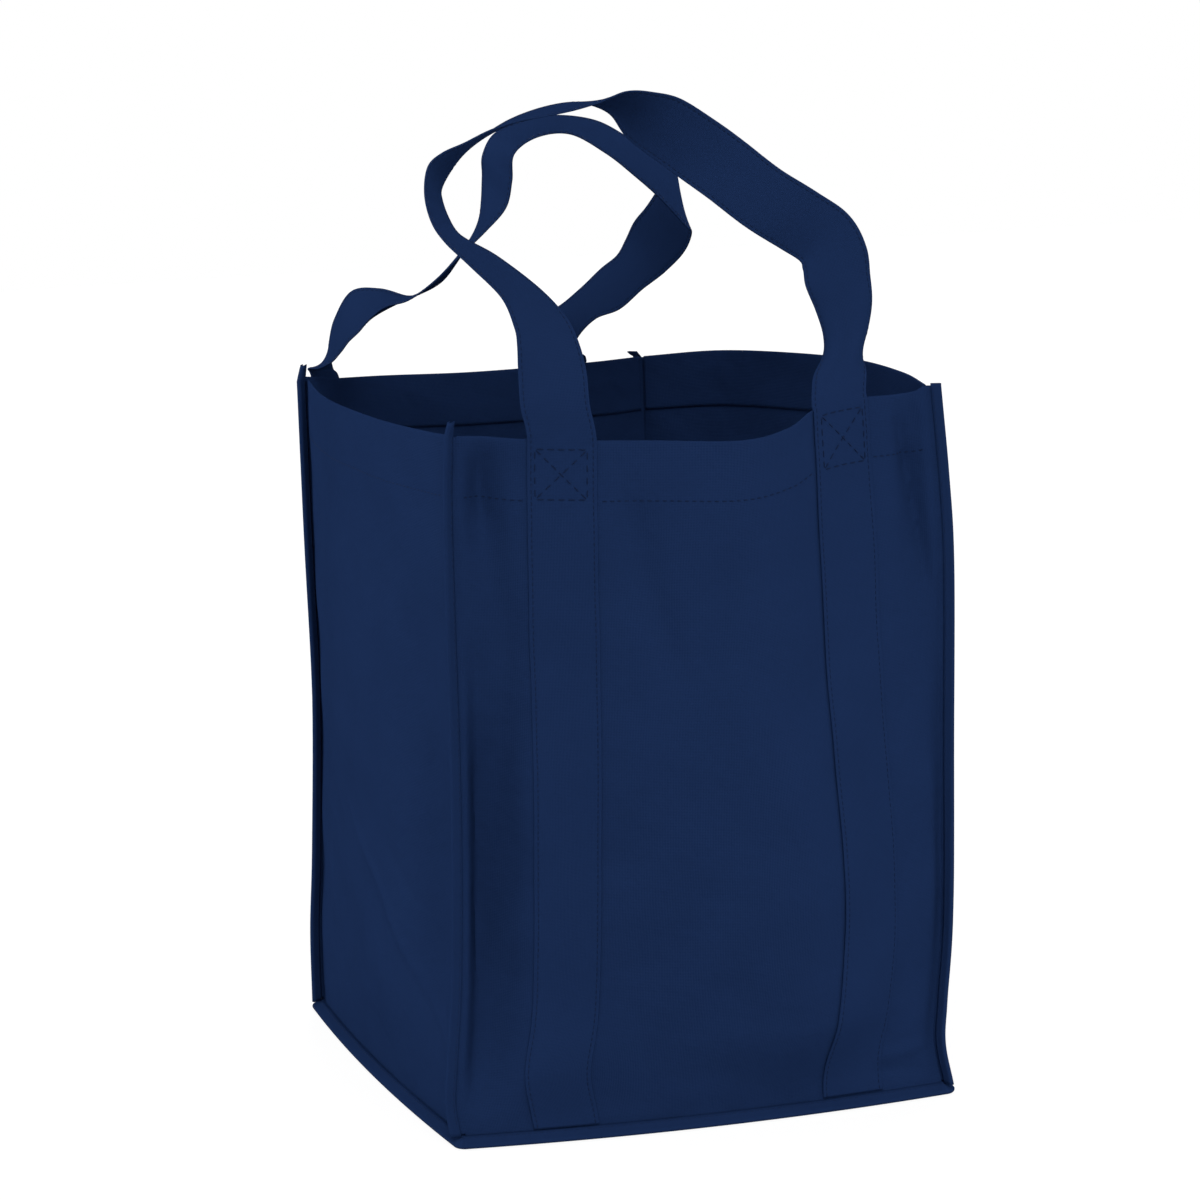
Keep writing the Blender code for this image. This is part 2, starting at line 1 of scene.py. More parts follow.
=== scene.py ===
"""The looks of a non-woven tote bag that stands open and empty, in metres.

Every piece of the bag is cloth, so each one is made again here as a fine surface in the place of its
solid: the walls with their hems, margins and soft folds, the bottom, the folded tapes, and the straps
with their stitching. A wall is a function of u, from one corner seam to the next, anticlockwise seen
from above, and of t, from the bottom seam to the rim.
"""

import math

import bpy
import numpy as np
from mathutils import Matrix


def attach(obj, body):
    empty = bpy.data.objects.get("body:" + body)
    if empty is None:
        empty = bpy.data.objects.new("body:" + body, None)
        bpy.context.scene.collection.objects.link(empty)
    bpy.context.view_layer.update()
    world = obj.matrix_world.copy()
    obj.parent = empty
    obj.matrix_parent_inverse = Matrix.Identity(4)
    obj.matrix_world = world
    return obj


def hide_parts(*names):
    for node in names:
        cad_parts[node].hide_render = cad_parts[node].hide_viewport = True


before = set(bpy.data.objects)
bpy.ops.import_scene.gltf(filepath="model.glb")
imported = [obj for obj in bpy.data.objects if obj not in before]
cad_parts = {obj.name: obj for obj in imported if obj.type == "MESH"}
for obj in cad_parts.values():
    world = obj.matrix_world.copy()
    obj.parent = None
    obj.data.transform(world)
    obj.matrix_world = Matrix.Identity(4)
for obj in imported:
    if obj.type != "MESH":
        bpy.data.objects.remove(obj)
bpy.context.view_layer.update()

# The bag, measured between its seams
WIDTH = 0.290
DEPTH = 0.268
HEIGHT = 0.394

# The cloth and how it is sewn
CLOTH = 0.0005
HEM = 0.034
MARGIN = 0.007
TAPE = 0.0005
CLEAR = 0.0003

# The straps, the places near their edges where their surface has a column, and the row of stitches
STRAP_WIDTH = 0.038
STRAP_THICKNESS = 0.0010
STRAP_INSET = 0.039
STRAP_CLEAR = 0.0004
STRAP_EDGE = (0.0, 0.0001, 0.0003, 0.0006, 0.0011, 0.0016, 0.0022, 0.0028, 0.0035, 0.0050)
STITCH_INSET = 0.0022
BOX_SPAN = (-0.0148, 0.0135)

# The bottom seam: its margins slope down and outward, so that the tape's fold stands on the floor
SEAM_SLOPE = math.radians(35)
SKIRT = 0.018

# Spacing of the fine surfaces
CELL = 0.0022
TAPE_CELL = 0.0025
BOTTOM_CELL = 0.0035
CORNER_STEPS = 8
RIM_STEPS = 24
LOOP_STEPS = 12
TAPE_FOLD_STEPS = 8
HEM_FOLD_STEPS = 6
SIDE_PLACES = 73
TURN_PLACES = 9

# Distances that follow from the sizes above
UP = np.array([0.0, 0.0, 1.0])
HEM_STEP = CLOTH + CLEAR
LAYER = HEM_STEP / 2
TAPE_OFFSET = CLEAR / 2 + CLOTH + CLEAR + TAPE / 2
FOLD_SLACK = 0.0001
FOLD_RADIUS = TAPE_OFFSET + FOLD_SLACK
FOLD_REACH = MARGIN + FOLD_SLACK
SEAM_Z = FOLD_REACH * math.sin(SEAM_SLOPE) + FOLD_RADIUS + TAPE / 2

# How far out from the seam the bottom tape and the corner tapes start
TAPE_START = 0.0008
CORNER_TAPE_START = 0.0026

# How far up from the bottom seam a wall has two rows of its own and a corner tape starts, and how wide
# the strip is beside a corner seam
SEAM_CLEAR = 0.0035
MARGIN_CLEAR = 0.0012
TAPE_CLEAR = 0.0002
CORNER_STRIP = 0.0025

# Rows of stitches: the pitch, a stitch's length and its radius
BOX_STITCHES = (0.0056, 0.0042, 0.00032)
STRAP_STITCHES = (0.0034, 0.0026, 0.0002)
FRONT_HEM_STITCHES = (0.0042, 0.0028, 0.00026)
HEM_STITCHES = (0.0042, 0.0028, 0.00016)
INNER_HEM_STITCHES = (0.0042, 0.0028, 0.00014)
TAPE_STITCHES = (0.0034, 0.0026, 0.00016)
BOTTOM_TAPE_STITCHES = (0.0034, 0.0026, 0.00014)

# How far the rows are in from the open edge of a corner tape and of the bottom tape. Then how far below
# the hem's lower edge three lines are: the middle one is the hem's row, just above that edge, and the
# other two give the way that the cloth faces there.
TAPE_ROW = 0.0012
BOTTOM_TAPE_ROW = 0.0017
HEM_ROWS = (0.002, -0.001, -0.004)

# How far a row of stitches draws a strap in and the hem's lower edge shows, with half their widths,
# and the slight waves of the cloth: how many, how high and how long
STITCH_PULL, STITCH_PULL_WIDTH = 0.00017, 0.0006
HEM_PRINT, HEM_PRINT_WIDTH = 0.0002, 0.0012
WAVES, WAVE_HEIGHT, WAVE_LENGTHS = 12, 0.00016, (0.035, 0.110)

# Over what shares of a wall's width and height the forms and the creases fade in: from the corner
# seams, from the bottom seam and, for the creases, from the rim
FORM_FADE = (0.035, 0.13)
CREASE_FADE = (0.03, 0.04, 0.05)

# How much lighter a dot's top is than its foot, a painted shade of the dots' relief, and how much the
# fibres' shade swings
DOT_PAINTED_SHADE = 0.24
FIBRE_SHADE = 0.26

# The colours of the cloth, the tape, the straps and the thread. The thread of the straps and hems is
# darker than the cloth: a painted shade of the dips that its stitches sit in.
NAVY = (0.0093, 0.0226, 0.0722)
NAVY_TAPE = (0.0089, 0.0216, 0.0690)
NAVY_THREAD_PAINTED_SHADE = (0.0050, 0.0122, 0.0395)
NAVY_TAPE_THREAD = (0.0072, 0.0176, 0.0565)

# The corner seams. Each has its corner of the plan, how much higher its rim is, how far the tape's tab
# stands over the rim and the angle at the tab's top. Then come its places: the share of the height,
# how far it stands from that corner along X and Y, and the angle from +X at which the sewn margins
# stand out there.
CORNERS = {
    "front_left": ((-1, -1), 0.0025, (0.009, 238), (
        (0.00, -0.0015, 0.0026, 176), (0.05, -0.0040, 0.0034, 174), (0.12, -0.0022, 0.0026, 171),
        (0.25, 0.0010, 0.0012, 172), (0.50, 0.0020, 0.0000, 192), (0.87, 0.0002, 0.0006, 212),
        (1.00, 0.0010, 0.0000, 218))),
    "front_right": ((1, -1), 0.0108, (0.0012, 338), (
        (0.00, -0.0081, -0.0262, 293), (0.06, -0.0106, -0.0206, 292), (0.12, -0.0076, -0.0172, 290),
        (0.25, -0.0015, -0.0119, 292), (0.50, 0.0006, -0.0054, 310), (0.75, 0.0011, -0.0026, 330),
        (0.87, -0.0017, -0.0018, 336), (1.00, -0.0066, -0.0008, 338))),
    "back_right": ((1, 1), -0.0045, (0.0035, 150), (
        (0.00, 0.0000, 0.0000, 45), (0.25, -0.0295, 0.0055, 62), (0.50, -0.0500, 0.0100, 80),
        (0.75, -0.0615, 0.0135, 92), (1.00, -0.0640, 0.0160, 102))),
    "back_left": ((-1, 1), -0.0015, (0.010, 240), (
        (0.00, -0.0012, 0.0022, 198), (0.12, -0.0013, 0.0023, 203), (0.25, 0.0007, 0.0013, 210),
        (0.50, 0.0030, 0.0000, 218), (0.75, 0.0015, 0.0008, 218), (1.00, 0.0005, 0.0014, 218))),
}

# How far each wall's bottom seam bows outward
FOOT_BOWS = {"front": 0.009, "right": 0.003, "back": 0.004, "left": 0.005}

# The rim of each wall between its corners: the share of the way, how far it bows outward and how far
# it sags below the line between the corners.
RIMS = {
    "front": ((0.19, 0.016, 0.0055), (0.37, 0.022, 0.010), (0.56, 0.023, 0.0155), (0.67, 0.018, 0.0125),
              (0.75, 0.008, 0.0047), (0.86, 0.002, 0.003), (0.96, 0.001, 0.0038)),
    "right": ((0.15, 0.017, -0.003), (0.38, 0.034, -0.005), (0.62, 0.037, -0.005),
              (0.84, 0.026, -0.004)),
    "back": ((0.22, 0.026, 0.006), (0.44, 0.049, 0.010), (0.66, 0.059, 0.010), (0.79, 0.0545, 0.009),
             (0.85, 0.045, 0.0075), (0.915, 0.031, 0.004), (0.985, 0.017, 0.001)),
    "left": ((0.20, 0.008, 0.002), (0.43, 0.014, 0.001), (0.69, 0.013, 0.001), (0.87, 0.006, 0.001)),
}

# The soft forms of each wall: where the middle is (u, t), how far it reaches (u, t), how far it comes
# outward and how far it slides along the wall.
FORMS = {
    "front": (
        (0.66, 0.30, 0.20, 0.34, 0.022, 0.000),
        (0.45, 0.55, 0.30, 0.30, 0.008, 0.000),
        (0.040, 0.35, 0.068, 0.30, -0.019, 0.000),
        (0.16, 0.38, 0.05, 0.30, 0.004, 0.000),
        (0.055, 0.92, 0.035, 0.10, -0.006, 0.000),
        (0.950, 0.86, 0.030, 0.16, -0.006, 0.000),
        (0.80, 0.28, 0.16, 0.24, 0.000, 0.008),
        (0.21, 0.06, 0.10, 0.07, 0.004, -0.010),
    ),
    "right": (
        (0.50, 0.45, 0.30, 0.35, 0.010, 0.000),
    ),
    "back": (
        (0.50, 0.45, 0.32, 0.32, 0.012, 0.000),
        (0.10, 0.85, 0.07, 0.15, -0.005, 0.000),
    ),
    "left": (
        (0.40, 0.50, 0.25, 0.35, 0.008, 0.000),
        (0.84, 0.38, 0.09, 0.28, -0.013, 0.000),
        (0.60, 0.14, 0.16, 0.10, 0.005, 0.000),
    ),
}

# The fine creases of each wall: from (u, t) to (u, t), half its width and how far it stands outward.
CREASES = {
    "front": (
        (0.045, 1.02, 0.062, 0.86, 0.0050, -0.0032),
        (0.050, 0.96, 0.105, 0.66, 0.0090, -0.0028),
        (0.110, 0.80, 0.070, 0.44, 0.0080, -0.0024),
        (0.01, 0.19, 0.14, 0.37, 0.0045, 0.0012),
        (0.03, 0.13, 0.14, 0.28, 0.0035, -0.0010),
        (0.30, 0.99, 0.44, 0.58, 0.0110, -0.0034),
        (0.56, 0.90, 0.43, 0.58, 0.0110, -0.0026),
        (0.52, 1.00, 0.58, 0.45, 0.0160, 0.0016),
        (0.37, 0.62, 0.31, 0.46, 0.0060, 0.0010),
        (0.920, 1.06, 0.990, 0.64, 0.0038, -0.0032),
        (0.84, 0.050, 0.99, 0.060, 0.0035, 0.0014),
        (0.83, 0.030, 0.99, 0.025, 0.0030, -0.0010),
    ),
    "right": (
        (0.15, 0.75, 0.35, 0.45, 0.0100, 0.0010),
        (0.55, 0.20, 0.80, 0.35, 0.0080, -0.0010),
        (0.40, 0.60, 0.60, 0.85, 0.0090, -0.0008),
    ),
    "back": (
        (0.25, 0.40, 0.45, 0.62, 0.0100, -0.0010),
        (0.60, 0.70, 0.75, 0.45, 0.0080, 0.0009),
        (0.03, 0.92, 0.10, 0.97, 0.0040, 0.0010),
    ),
    "left": (
        (0.36, 0.44, 1.02, 0.03, 0.0040, 0.0018),
        (0.55, 0.42, 1.02, 0.12, 0.0060, -0.0012),
        (0.10, 0.30, 0.25, 0.12, 0.0050, 0.0008),
        (0.72, 0.66, 0.80, 0.30, 0.0090, -0.0008),
        (0.45, 0.10, 0.60, 0.04, 0.0030, -0.0006),
    ),
}

# The corners where each wall starts and ends, anticlockwise seen from above
WALLS = {
    "front": ("front_left", "front_right"),
    "right": ("front_right", "back_right"),
    "back": ("back_right", "back_left"),
    "left": ("back_left", "front_left"),
}

# The free loops. A station is the share of the way between the two legs, how far the strap has come
# in over the bag and how far it is above the rim, then the way that its width points, from the edge
# outside the loop to the edge inside it, and last, where its width is curled back, by what angle.
FRONT_LOOP = (
    (-0.52, 0.001, 0.020, 0.98, -0.18, -0.02), (-0.518, 0.005, 0.037, 0.99, -0.09, 0.00),
    (-0.52, 0.011, 0.053, 0.98, 0.19, 0.03), (-0.53, 0.018, 0.064, 0.91, 0.40, 0.08),
    (-0.57, 0.030, 0.079, 0.78, 0.62, 0.04), (-0.66, 0.045, 0.096, 0.68, 0.74, 0.03),
    (-0.73, 0.055, 0.107, 0.62, 0.78, -0.08), (-0.76, 0.061, 0.115, 0.63, 0.74, -0.24),
    (-0.77, 0.068, 0.126, 0.58, 0.70, -0.41), (-0.76, 0.074, 0.137, 0.44, 0.70, -0.56),
    (-0.73, 0.077, 0.143, 0.24, 0.77, -0.59), (-0.67, 0.080, 0.149, 0.05, 0.86, -0.50),
    (-0.59, 0.085, 0.156, -0.10, 0.91, -0.40), (-0.49, 0.090, 0.162, -0.15, 0.96, -0.25),
    (-0.39, 0.093, 0.166, -0.13, 0.99, -0.09), (-0.28, 0.094, 0.169, -0.08, 1.00, -0.01),
    (-0.18, 0.094, 0.171, -0.03, 1.00, -0.05), (-0.12, 0.093, 0.171, 0.07, 0.98, -0.18),
    (-0.06, 0.091, 0.169, 0.08, 0.91, -0.41), (0.00, 0.086, 0.162, -0.15, 0.70, -0.70),
    (0.08, 0.080, 0.154, -0.37, 0.39, -0.84), (0.17, 0.073, 0.142, -0.52, 0.26, -0.81),
    (0.26, 0.065, 0.129, -0.63, 0.07, -0.77), (0.37, 0.055, 0.112, -0.61, 0.06, -0.79),
    (0.48, 0.045, 0.098, -0.50, 0.24, -0.83), (0.55, 0.037, 0.088, -0.63, 0.31, -0.71),
    (0.57, 0.030, 0.077, -0.87, 0.36, -0.33, 0.2), (0.57, 0.025, 0.065, -0.95, 0.28, -0.12, 0.7),
    (0.58, 0.019, 0.052, -0.96, 0.20, -0.08, 1.9), (0.576, 0.013, 0.039, -0.98, 0.10, -0.08, 2.9),
    (0.555, 0.008, 0.027, -0.98, -0.05, -0.08, 3.1), (0.52, 0.003, 0.014, -0.98, -0.16, -0.10, 0.9),
)
BACK_LOOP = (
    (-0.522, 0.001, 0.007, 0.65, 0.75, -0.13), (-0.517, 0.007, 0.013, 0.46, 0.88, 0.13),
    (-0.503, 0.014, 0.0195, 0.27, 0.93, 0.24), (-0.493, 0.024, 0.030, 0.21, 0.86, 0.47),
    (-0.467, 0.038, 0.043, 0.28, 0.60, 0.75), (-0.42, 0.054, 0.0485, 0.55, 0.58, 0.60),
    (-0.37, 0.069, 0.0515, 0.82, 0.52, 0.26), (-0.33, 0.082, 0.0575, 0.83, 0.53, 0.13),
    (-0.28, 0.097, 0.064, 0.81, 0.54, 0.23), (-0.23, 0.111, 0.076, 0.73, 0.59, 0.35),
    (-0.20, 0.124, 0.087, 0.66, 0.64, 0.39), (-0.17, 0.134, 0.098, 0.54, 0.76, 0.36),
    (-0.137, 0.143, 0.112, 0.25, 0.89, 0.39), (-0.108, 0.149, 0.126, -0.05, 0.91, 0.42),
    (-0.108, 0.155, 0.140, -0.13, 0.93, 0.33), (-0.087, 0.159, 0.154, 0.04, 0.97, 0.24),
    (0.01, 0.161, 0.162, 0.10, 0.98, 0.16), (0.14, 0.162, 0.164, 0.08, 0.97, 0.22),
    (0.30, 0.160, 0.156, 0.15, 0.88, 0.45), (0.43, 0.156, 0.144, 0.20, 0.82, 0.54),
    (0.54, 0.152, 0.132, 0.19, 0.76, 0.62), (0.67, 0.142, 0.117, 0.14, 0.62, 0.77),
    (0.70, 0.127, 0.110, -0.22, 0.59, 0.77), (0.68, 0.115, 0.096, -0.38, 0.61, 0.70),
    (0.65, 0.103, 0.0852, -0.30, 0.58, 0.76), (0.61, 0.091, 0.073, 0.00, 0.67, 0.74),
    (0.57, 0.080, 0.0612, 0.20, 0.56, 0.82), (0.52, 0.066, 0.053, 0.33, 0.61, 0.72),
    (0.48, 0.050, 0.0407, 0.28, 0.70, 0.62), (0.46, 0.033, 0.029, 0.05, 0.80, 0.58),
    (0.46, 0.017, 0.0205, -0.50, 0.65, 0.50), (0.48, 0.005, 0.010, -0.84, 0.50, 0.14),
)


def ease(x):
    """Rises smoothly from 0 to 1: three times x squared less twice x cubed."""
    x = np.clip(x, 0.0, 1.0)
    return x * x * (3.0 - 2.0 * x)


def unit(vectors):
    """The same vectors at length one."""
    vectors = np.asarray(vectors, float)
    return vectors / np.linalg.norm(vectors, axis=-1, keepdims=True)


def through(points, steps):
    """A smooth Catmull-Rom line through the points, with a number of steps between each two."""
    points = np.asarray(points, float)
    ends = np.vstack([2 * points[0] - points[1], points, 2 * points[-1] - points[-2]])
    share = (np.arange(steps) / steps)[None, :, None]
    a, b, c, d = (ends[k:len(ends) - 3 + k, None] for k in range(4))
    bend = 2 * a - 5 * b + 4 * c - d
    turn = 3 * b - a - 3 * c + d
    spans = b + 0.5 * ((c - a) * share + bend * share**2 + turn * share**3)
    return np.vstack([spans.reshape(-1, points.shape[1]), points[-1:]])


def walked(points):
    """How far along a line of points each one is."""
    return np.concatenate([[0.0], np.cumsum(np.linalg.norm(np.diff(points, axis=0), axis=1))])


def flat_grid(widths, heights):
    """The places of a grid on the flat cut."""
    return np.stack(np.meshgrid(widths, heights, indexing="ij"), axis=-1)


def along_line(points, shares):
    """The places at the given shares of a line's length."""
    steps = np.linalg.norm(np.diff(points, axis=0), axis=1)
    travelled = np.concatenate([[0.0], np.cumsum(steps)]) / steps.sum()
    return np.stack([np.interp(shares, travelled, column) for column in points.T], axis=-1)


def across(vector):
    """The level direction to the right of a level vector, which is outward from a wall."""
    return np.stack([vector[..., 1], -vector[..., 0], 0 * vector[..., 0]], axis=-1)


def corner_ends(name):
    """The foot and the rim of a corner seam."""
    (side_x, side_y), lift, _, places = CORNERS[name]
    plan = np.array([side_x * WIDTH / 2, side_y * DEPTH / 2])
    low = np.array([*(plan + places[0][1:3]), SEAM_Z])
    high = np.array([*(plan + places[-1][1:3]), SEAM_Z + HEIGHT + lift])
    return low, high


def corner_line(name, t):
    """A corner seam at the heights t: a smooth line through its places, straight on above the rim."""
    low, high = corner_ends(name)
    (side_x, side_y), _, _, places = CORNERS[name]
    rows = through(np.array(places)[:, :3], CORNER_STEPS)
    t = np.asarray(t, float)
    inside = np.minimum(t, 1.0)
    x = side_x * WIDTH / 2 + np.interp(inside, rows[:, 0], rows[:, 1])
    y = side_y * DEPTH / 2 + np.interp(inside, rows[:, 0], rows[:, 2])
    line = np.stack([x, y, low[2] + (high[2] - low[2]) * inside], axis=-1)
    return line + (high - low) * (t - inside)[..., None]


def flange_direction(name, t):
    """The way in which a corner's sewn margins stand out, at the heights t."""
    _, _, (tab, tab_angle), places = CORNERS[name]
    heights = [place[0] for place in places] + [1 + tab / HEIGHT]
    angles = np.radians(np.interp(t, heights, [place[3] for place in places] + [tab_angle]))
    return np.stack([np.cos(angles), np.sin(angles), 0 * angles], axis=-1)


def wall_side(wall):
    """A wall's level direction along its bottom seam, from its first corner to its second."""
    first, second = WALLS[wall]
    return unit(corner_ends(second)[0] - corner_ends(first)[0])


def foot_line(wall, u):
    """A wall's bottom seam at u: the line between its corners, plus four u (1 - u) times its bow."""
    first, second = WALLS[wall]
    low_a, low_b = corner_ends(first)[0], corner_ends(second)[0]
    u = np.asarray(u, float)[..., None]
    bow = across(wall_side(wall)) * FOOT_BOWS[wall]
    return low_a + (low_b - low_a) * u + bow * 4 * u * (1 - u)


def seam_shift(wall, corner, t):
    """How far a wall's cloth lies to its own side of a corner seam's middle."""
    facing = -1.0 if corner == WALLS[wall][0] else 1.0
    return across(flange_direction(corner, t)) * facing * LAYER


def slope_directions(out):
    """Down the slope of the bottom margins where they stand outward, and square to it, upward."""
    return (out * math.cos(SEAM_SLOPE) - UP * math.sin(SEAM_SLOPE),
            out * math.sin(SEAM_SLOPE) + UP * math.cos(SEAM_SLOPE))


def foot_directions(wall):
    """The two slope directions of a wall's bottom margin."""
    return slope_directions(across(wall_side(wall)))


def wall_length(wall):
    """A wall's width between its seams."""
    return WIDTH if wall in ("front", "back") else DEPTH


def crease_height(wall, u, t):
    """How far the fine creases and the cloth's own slight unevenness bring each point outward.

    A crease is its height times exp(-(d / half width) squared), d being the distance from its line,
    and it fades over its ends. The unevenness is a sum of sine waves in all directions.
    """
    place = np.stack([u * wall_length(wall), t * HEIGHT], axis=-1)
    height = np.zeros(u.shape)
    for u_a, t_a, u_b, t_b, half_width, out in CREASES[wall]:
        start = np.array([u_a * wall_length(wall), t_a * HEIGHT])
        run = np.array([u_b * wall_length(wall), t_b * HEIGHT]) - start
        length = np.linalg.norm(run)
        share = ((place - start) @ run) / length**2
        beside = np.abs((place - start) @ np.array([-run[1], run[0]])) / length
        fade = ease(share / 0.35) * ease((1 - share) / 0.35)
        height += out * np.exp(-((beside / half_width) ** 2)) * fade
    rng = np.random.default_rng(sum(ord(letter) for letter in wall))
    for _ in range(WAVES):
        heading = rng.uniform(0, math.pi)
        wave = rng.uniform(*WAVE_LENGTHS)
        start = rng.uniform(0, 2 * math.pi)
        way = np.array([math.cos(heading), math.sin(heading)])
        height += WAVE_HEIGHT * np.sin(place @ way * 2 * math.pi / wave + start)
    return height


def wall_surface(wall, u, t):
    """The middle of a wall's cloth on the grid of u by t.

    It blends in t from the bottom seam to the rim, both bowed, and bends near each end to meet the
    corner seams at all heights. The soft forms are bells, exp(-(du squared + dt squared)), which fade
    out at the wall's edges together with the fine creases.
    """
    first, second = WALLS[wall]
    u_grid, t_grid = np.meshgrid(u, t, indexing="ij")
    blend = t_grid[..., None]
    low_a, high_a = corner_ends(first)
    low_b, high_b = corner_ends(second)
    foot = foot_line(wall, u)
    chord = high_b - high_a
    out = unit(across(chord))
    stations = [high_a]
    for share, bow, sag in RIMS[wall]:
        stations.append(high_a + chord * share + out * bow - UP * sag)
    rim = along_line(through(stations + [high_b], RIM_STEPS), u)
    points = foot[:, None] * (1 - blend) + rim[:, None] * blend

    share = u_grid[..., None]
    for corner, weight in ((first, (1 - share) ** 4), (second, share**4)):
        low, high = corner_ends(corner)
        straight = low + (high - low) * blend
        points += weight * (corner_line(corner, t_grid) - straight + seam_shift(wall, corner, t_grid))

    from_side = np.minimum(u_grid, 1 - u_grid)
    fade = ease(from_side / FORM_FADE[0]) * ease(t_grid / FORM_FADE[1])
    side = wall_side(wall)
    for u_mid, t_mid, u_reach, t_reach, outward, slide in FORMS[wall]:
        bump = np.exp(-(((u_grid - u_mid) / u_reach) ** 2) - ((t_grid - t_mid) / t_reach) ** 2)
        points += (bump * fade)[..., None] * (across(side) * outward + side * slide)
    fade = (ease(from_side / CREASE_FADE[0]) * ease(t_grid / CREASE_FADE[1])
            * ease((1 - t_grid) / CREASE_FADE[2]))
    points += (crease_height(wall, u_grid, t_grid) * fade)[..., None] * across(side)
    off_slope = foot_directions(wall)[1]
    points += (1 - ease(t_grid / 0.02))[..., None] * off_slope * LAYER
    return points


def normals(points):
    """The outward direction at each point of a grid: its first way across its second."""
    return unit(np.cross(np.gradient(points, axis=0), np.gradient(points, axis=1)))


def spaced(marks, step):
    """Places from mark to mark, evenly spaced between each two and no further apart than the step."""
    places = [np.array([marks[0]])]
    for low, high in zip(marks[:-1], marks[1:]):
        count = max(1, math.ceil((high - low) / step - 1e-6))
        places.append(low + (high - low) * np.arange(1, count + 1) / count)
    return np.concatenate(places)


def wall_columns(wall):
    """Where a wall's columns are, as shares of its width, with a narrow strip at each corner."""
    length = wall_length(wall)
    return spaced([0.0, CORNER_STRIP, length - CORNER_STRIP, length], CELL) / length


def wall_rows():
    """Where the rows are, as shares of the height, with some at the seam and one at the hem's edge."""
    return spaced([0.0, MARGIN_CLEAR, SEAM_CLEAR, HEIGHT - HEM, HEIGHT], CELL) / HEIGHT


def new_piece(name, places, faces, material, uv=None):
    """A mesh object at the origin from arrays of places and of four-sided faces."""
    mesh = bpy.data.meshes.new(name)
    mesh.vertices.add(len(places))
    mesh.vertices.foreach_set("co", np.ascontiguousarray(places, np.float32).ravel())
    mesh.loops.add(faces.size)
    mesh.loops.foreach_set("vertex_index", np.ascontiguousarray(faces, np.int32).ravel())
    mesh.polygons.add(len(faces))
    mesh.polygons.foreach_set("loop_start", np.arange(0, faces.size, faces.shape[1], dtype=np.int32))
    mesh.update(calc_edges=True)
    if uv is not None:
        layer = mesh.uv_layers.new(name="cut")
        layer.uv.foreach_set("vector", np.ascontiguousarray(uv[faces.ravel()], np.float32).ravel())
    mesh.shade_smooth()
    body = bpy.data.objects.new(name, mesh)
    bpy.context.collection.objects.link(body)
    body.data.materials.append(material)
    return body


def sheet_piece(name, points, uv, thickness, material, used=slice(None), closed=False):
    """The used cells of a grid, or all, as a thin sheet, given its thickness by a Solidify modifier.

    The grid's first way across its second points outward. A closed grid joins its last row to its
    first. The uv values are places on the flat cut, in metres.
    """
    index = np.arange(points.shape[0] * points.shape[1]).reshape(points.shape[:2])
    here = index if closed else index[:-1]
    there = np.roll(index, -1, axis=0) if closed else index[1:]
    quads = np.stack([here[:, :-1], there[:, :-1], there[:, 1:], here[:, 1:]], axis=-1)[used]
    kept, quads = np.unique(quads, return_inverse=True)
    body = new_piece(name, points.reshape(-1, 3)[kept], quads.reshape(-1, 4), material,
                     uv.reshape(-1, 2)[kept])
    body.data.set_sharp_from_angle(angle=math.radians(50))
    thick = body.modifiers.new("thickness", "SOLIDIFY")
    thick.thickness = thickness
    thick.offset = 0.0
    thick.use_even_offset = True
    return body


def wall_piece(name, wall, material):
    """A wall of the bag: its surface, its margins turned outward and its hem folded in.

    The hem's fold is half a circle in section, between the wall and the layer inside it. The layer's
    lower edge comes a little nearer to the wall, by a narrow bell.
    """
    u, t = wall_columns(wall), wall_rows()
    surface = wall_surface(wall, u, t)
    inward = -normals(surface)
    first, second = WALLS[wall]
    in_hem = t >= 1 - HEM / HEIGHT - 1e-6

    radius = HEM_STEP / 2
    angles = math.pi * np.arange(1, HEM_FOLD_STEPS) / HEM_FOLD_STEPS
    fold = (surface[:, -1:] + inward[:, -1:] * radius * (1 - np.cos(angles))[None, :, None]
            + UP * radius * np.sin(angles)[None, :, None])
    lower_edge = np.exp(-((1 - t[in_hem]) * HEIGHT - HEM) ** 2 / HEM_PRINT_WIDTH**2)[None, :, None]
    hem = surface[:, in_hem] + inward[:, in_hem] * (HEM_STEP - HEM_PRINT * lower_edge)
    margin = surface[:, :1] + foot_directions(wall)[0] * MARGIN
    body = np.concatenate([margin, surface, fold, hem[:, ::-1]], axis=1)

    heights = np.concatenate([[-MARGIN], t * HEIGHT, HEIGHT + radius * angles,
                              (2 - t[in_hem][::-1]) * HEIGHT + radius * math.pi])
    widths = np.concatenate([[-MARGIN], u * wall_length(wall), [wall_length(wall) + MARGIN]])

    rows = len(t)
    left = np.full((1, body.shape[1], 3), np.nan)
    right = left.copy()
    left[0, 1:rows + 1] = surface[0] + flange_direction(first, t) * MARGIN
    right[0, 1:rows + 1] = surface[-1] + flange_direction(second, t) * MARGIN
    body = np.concatenate([left, body, right])

    used = np.zeros((body.shape[0] - 1, body.shape[1] - 1), bool)
    used[1:-1, :rows] = True
    used[2:-2, rows:] = True
    used[0, 2:rows] = True
    used[-1, 2:rows] = True
    return sheet_piece(name, body, flat_grid(widths, heights), CLOTH, material, used)


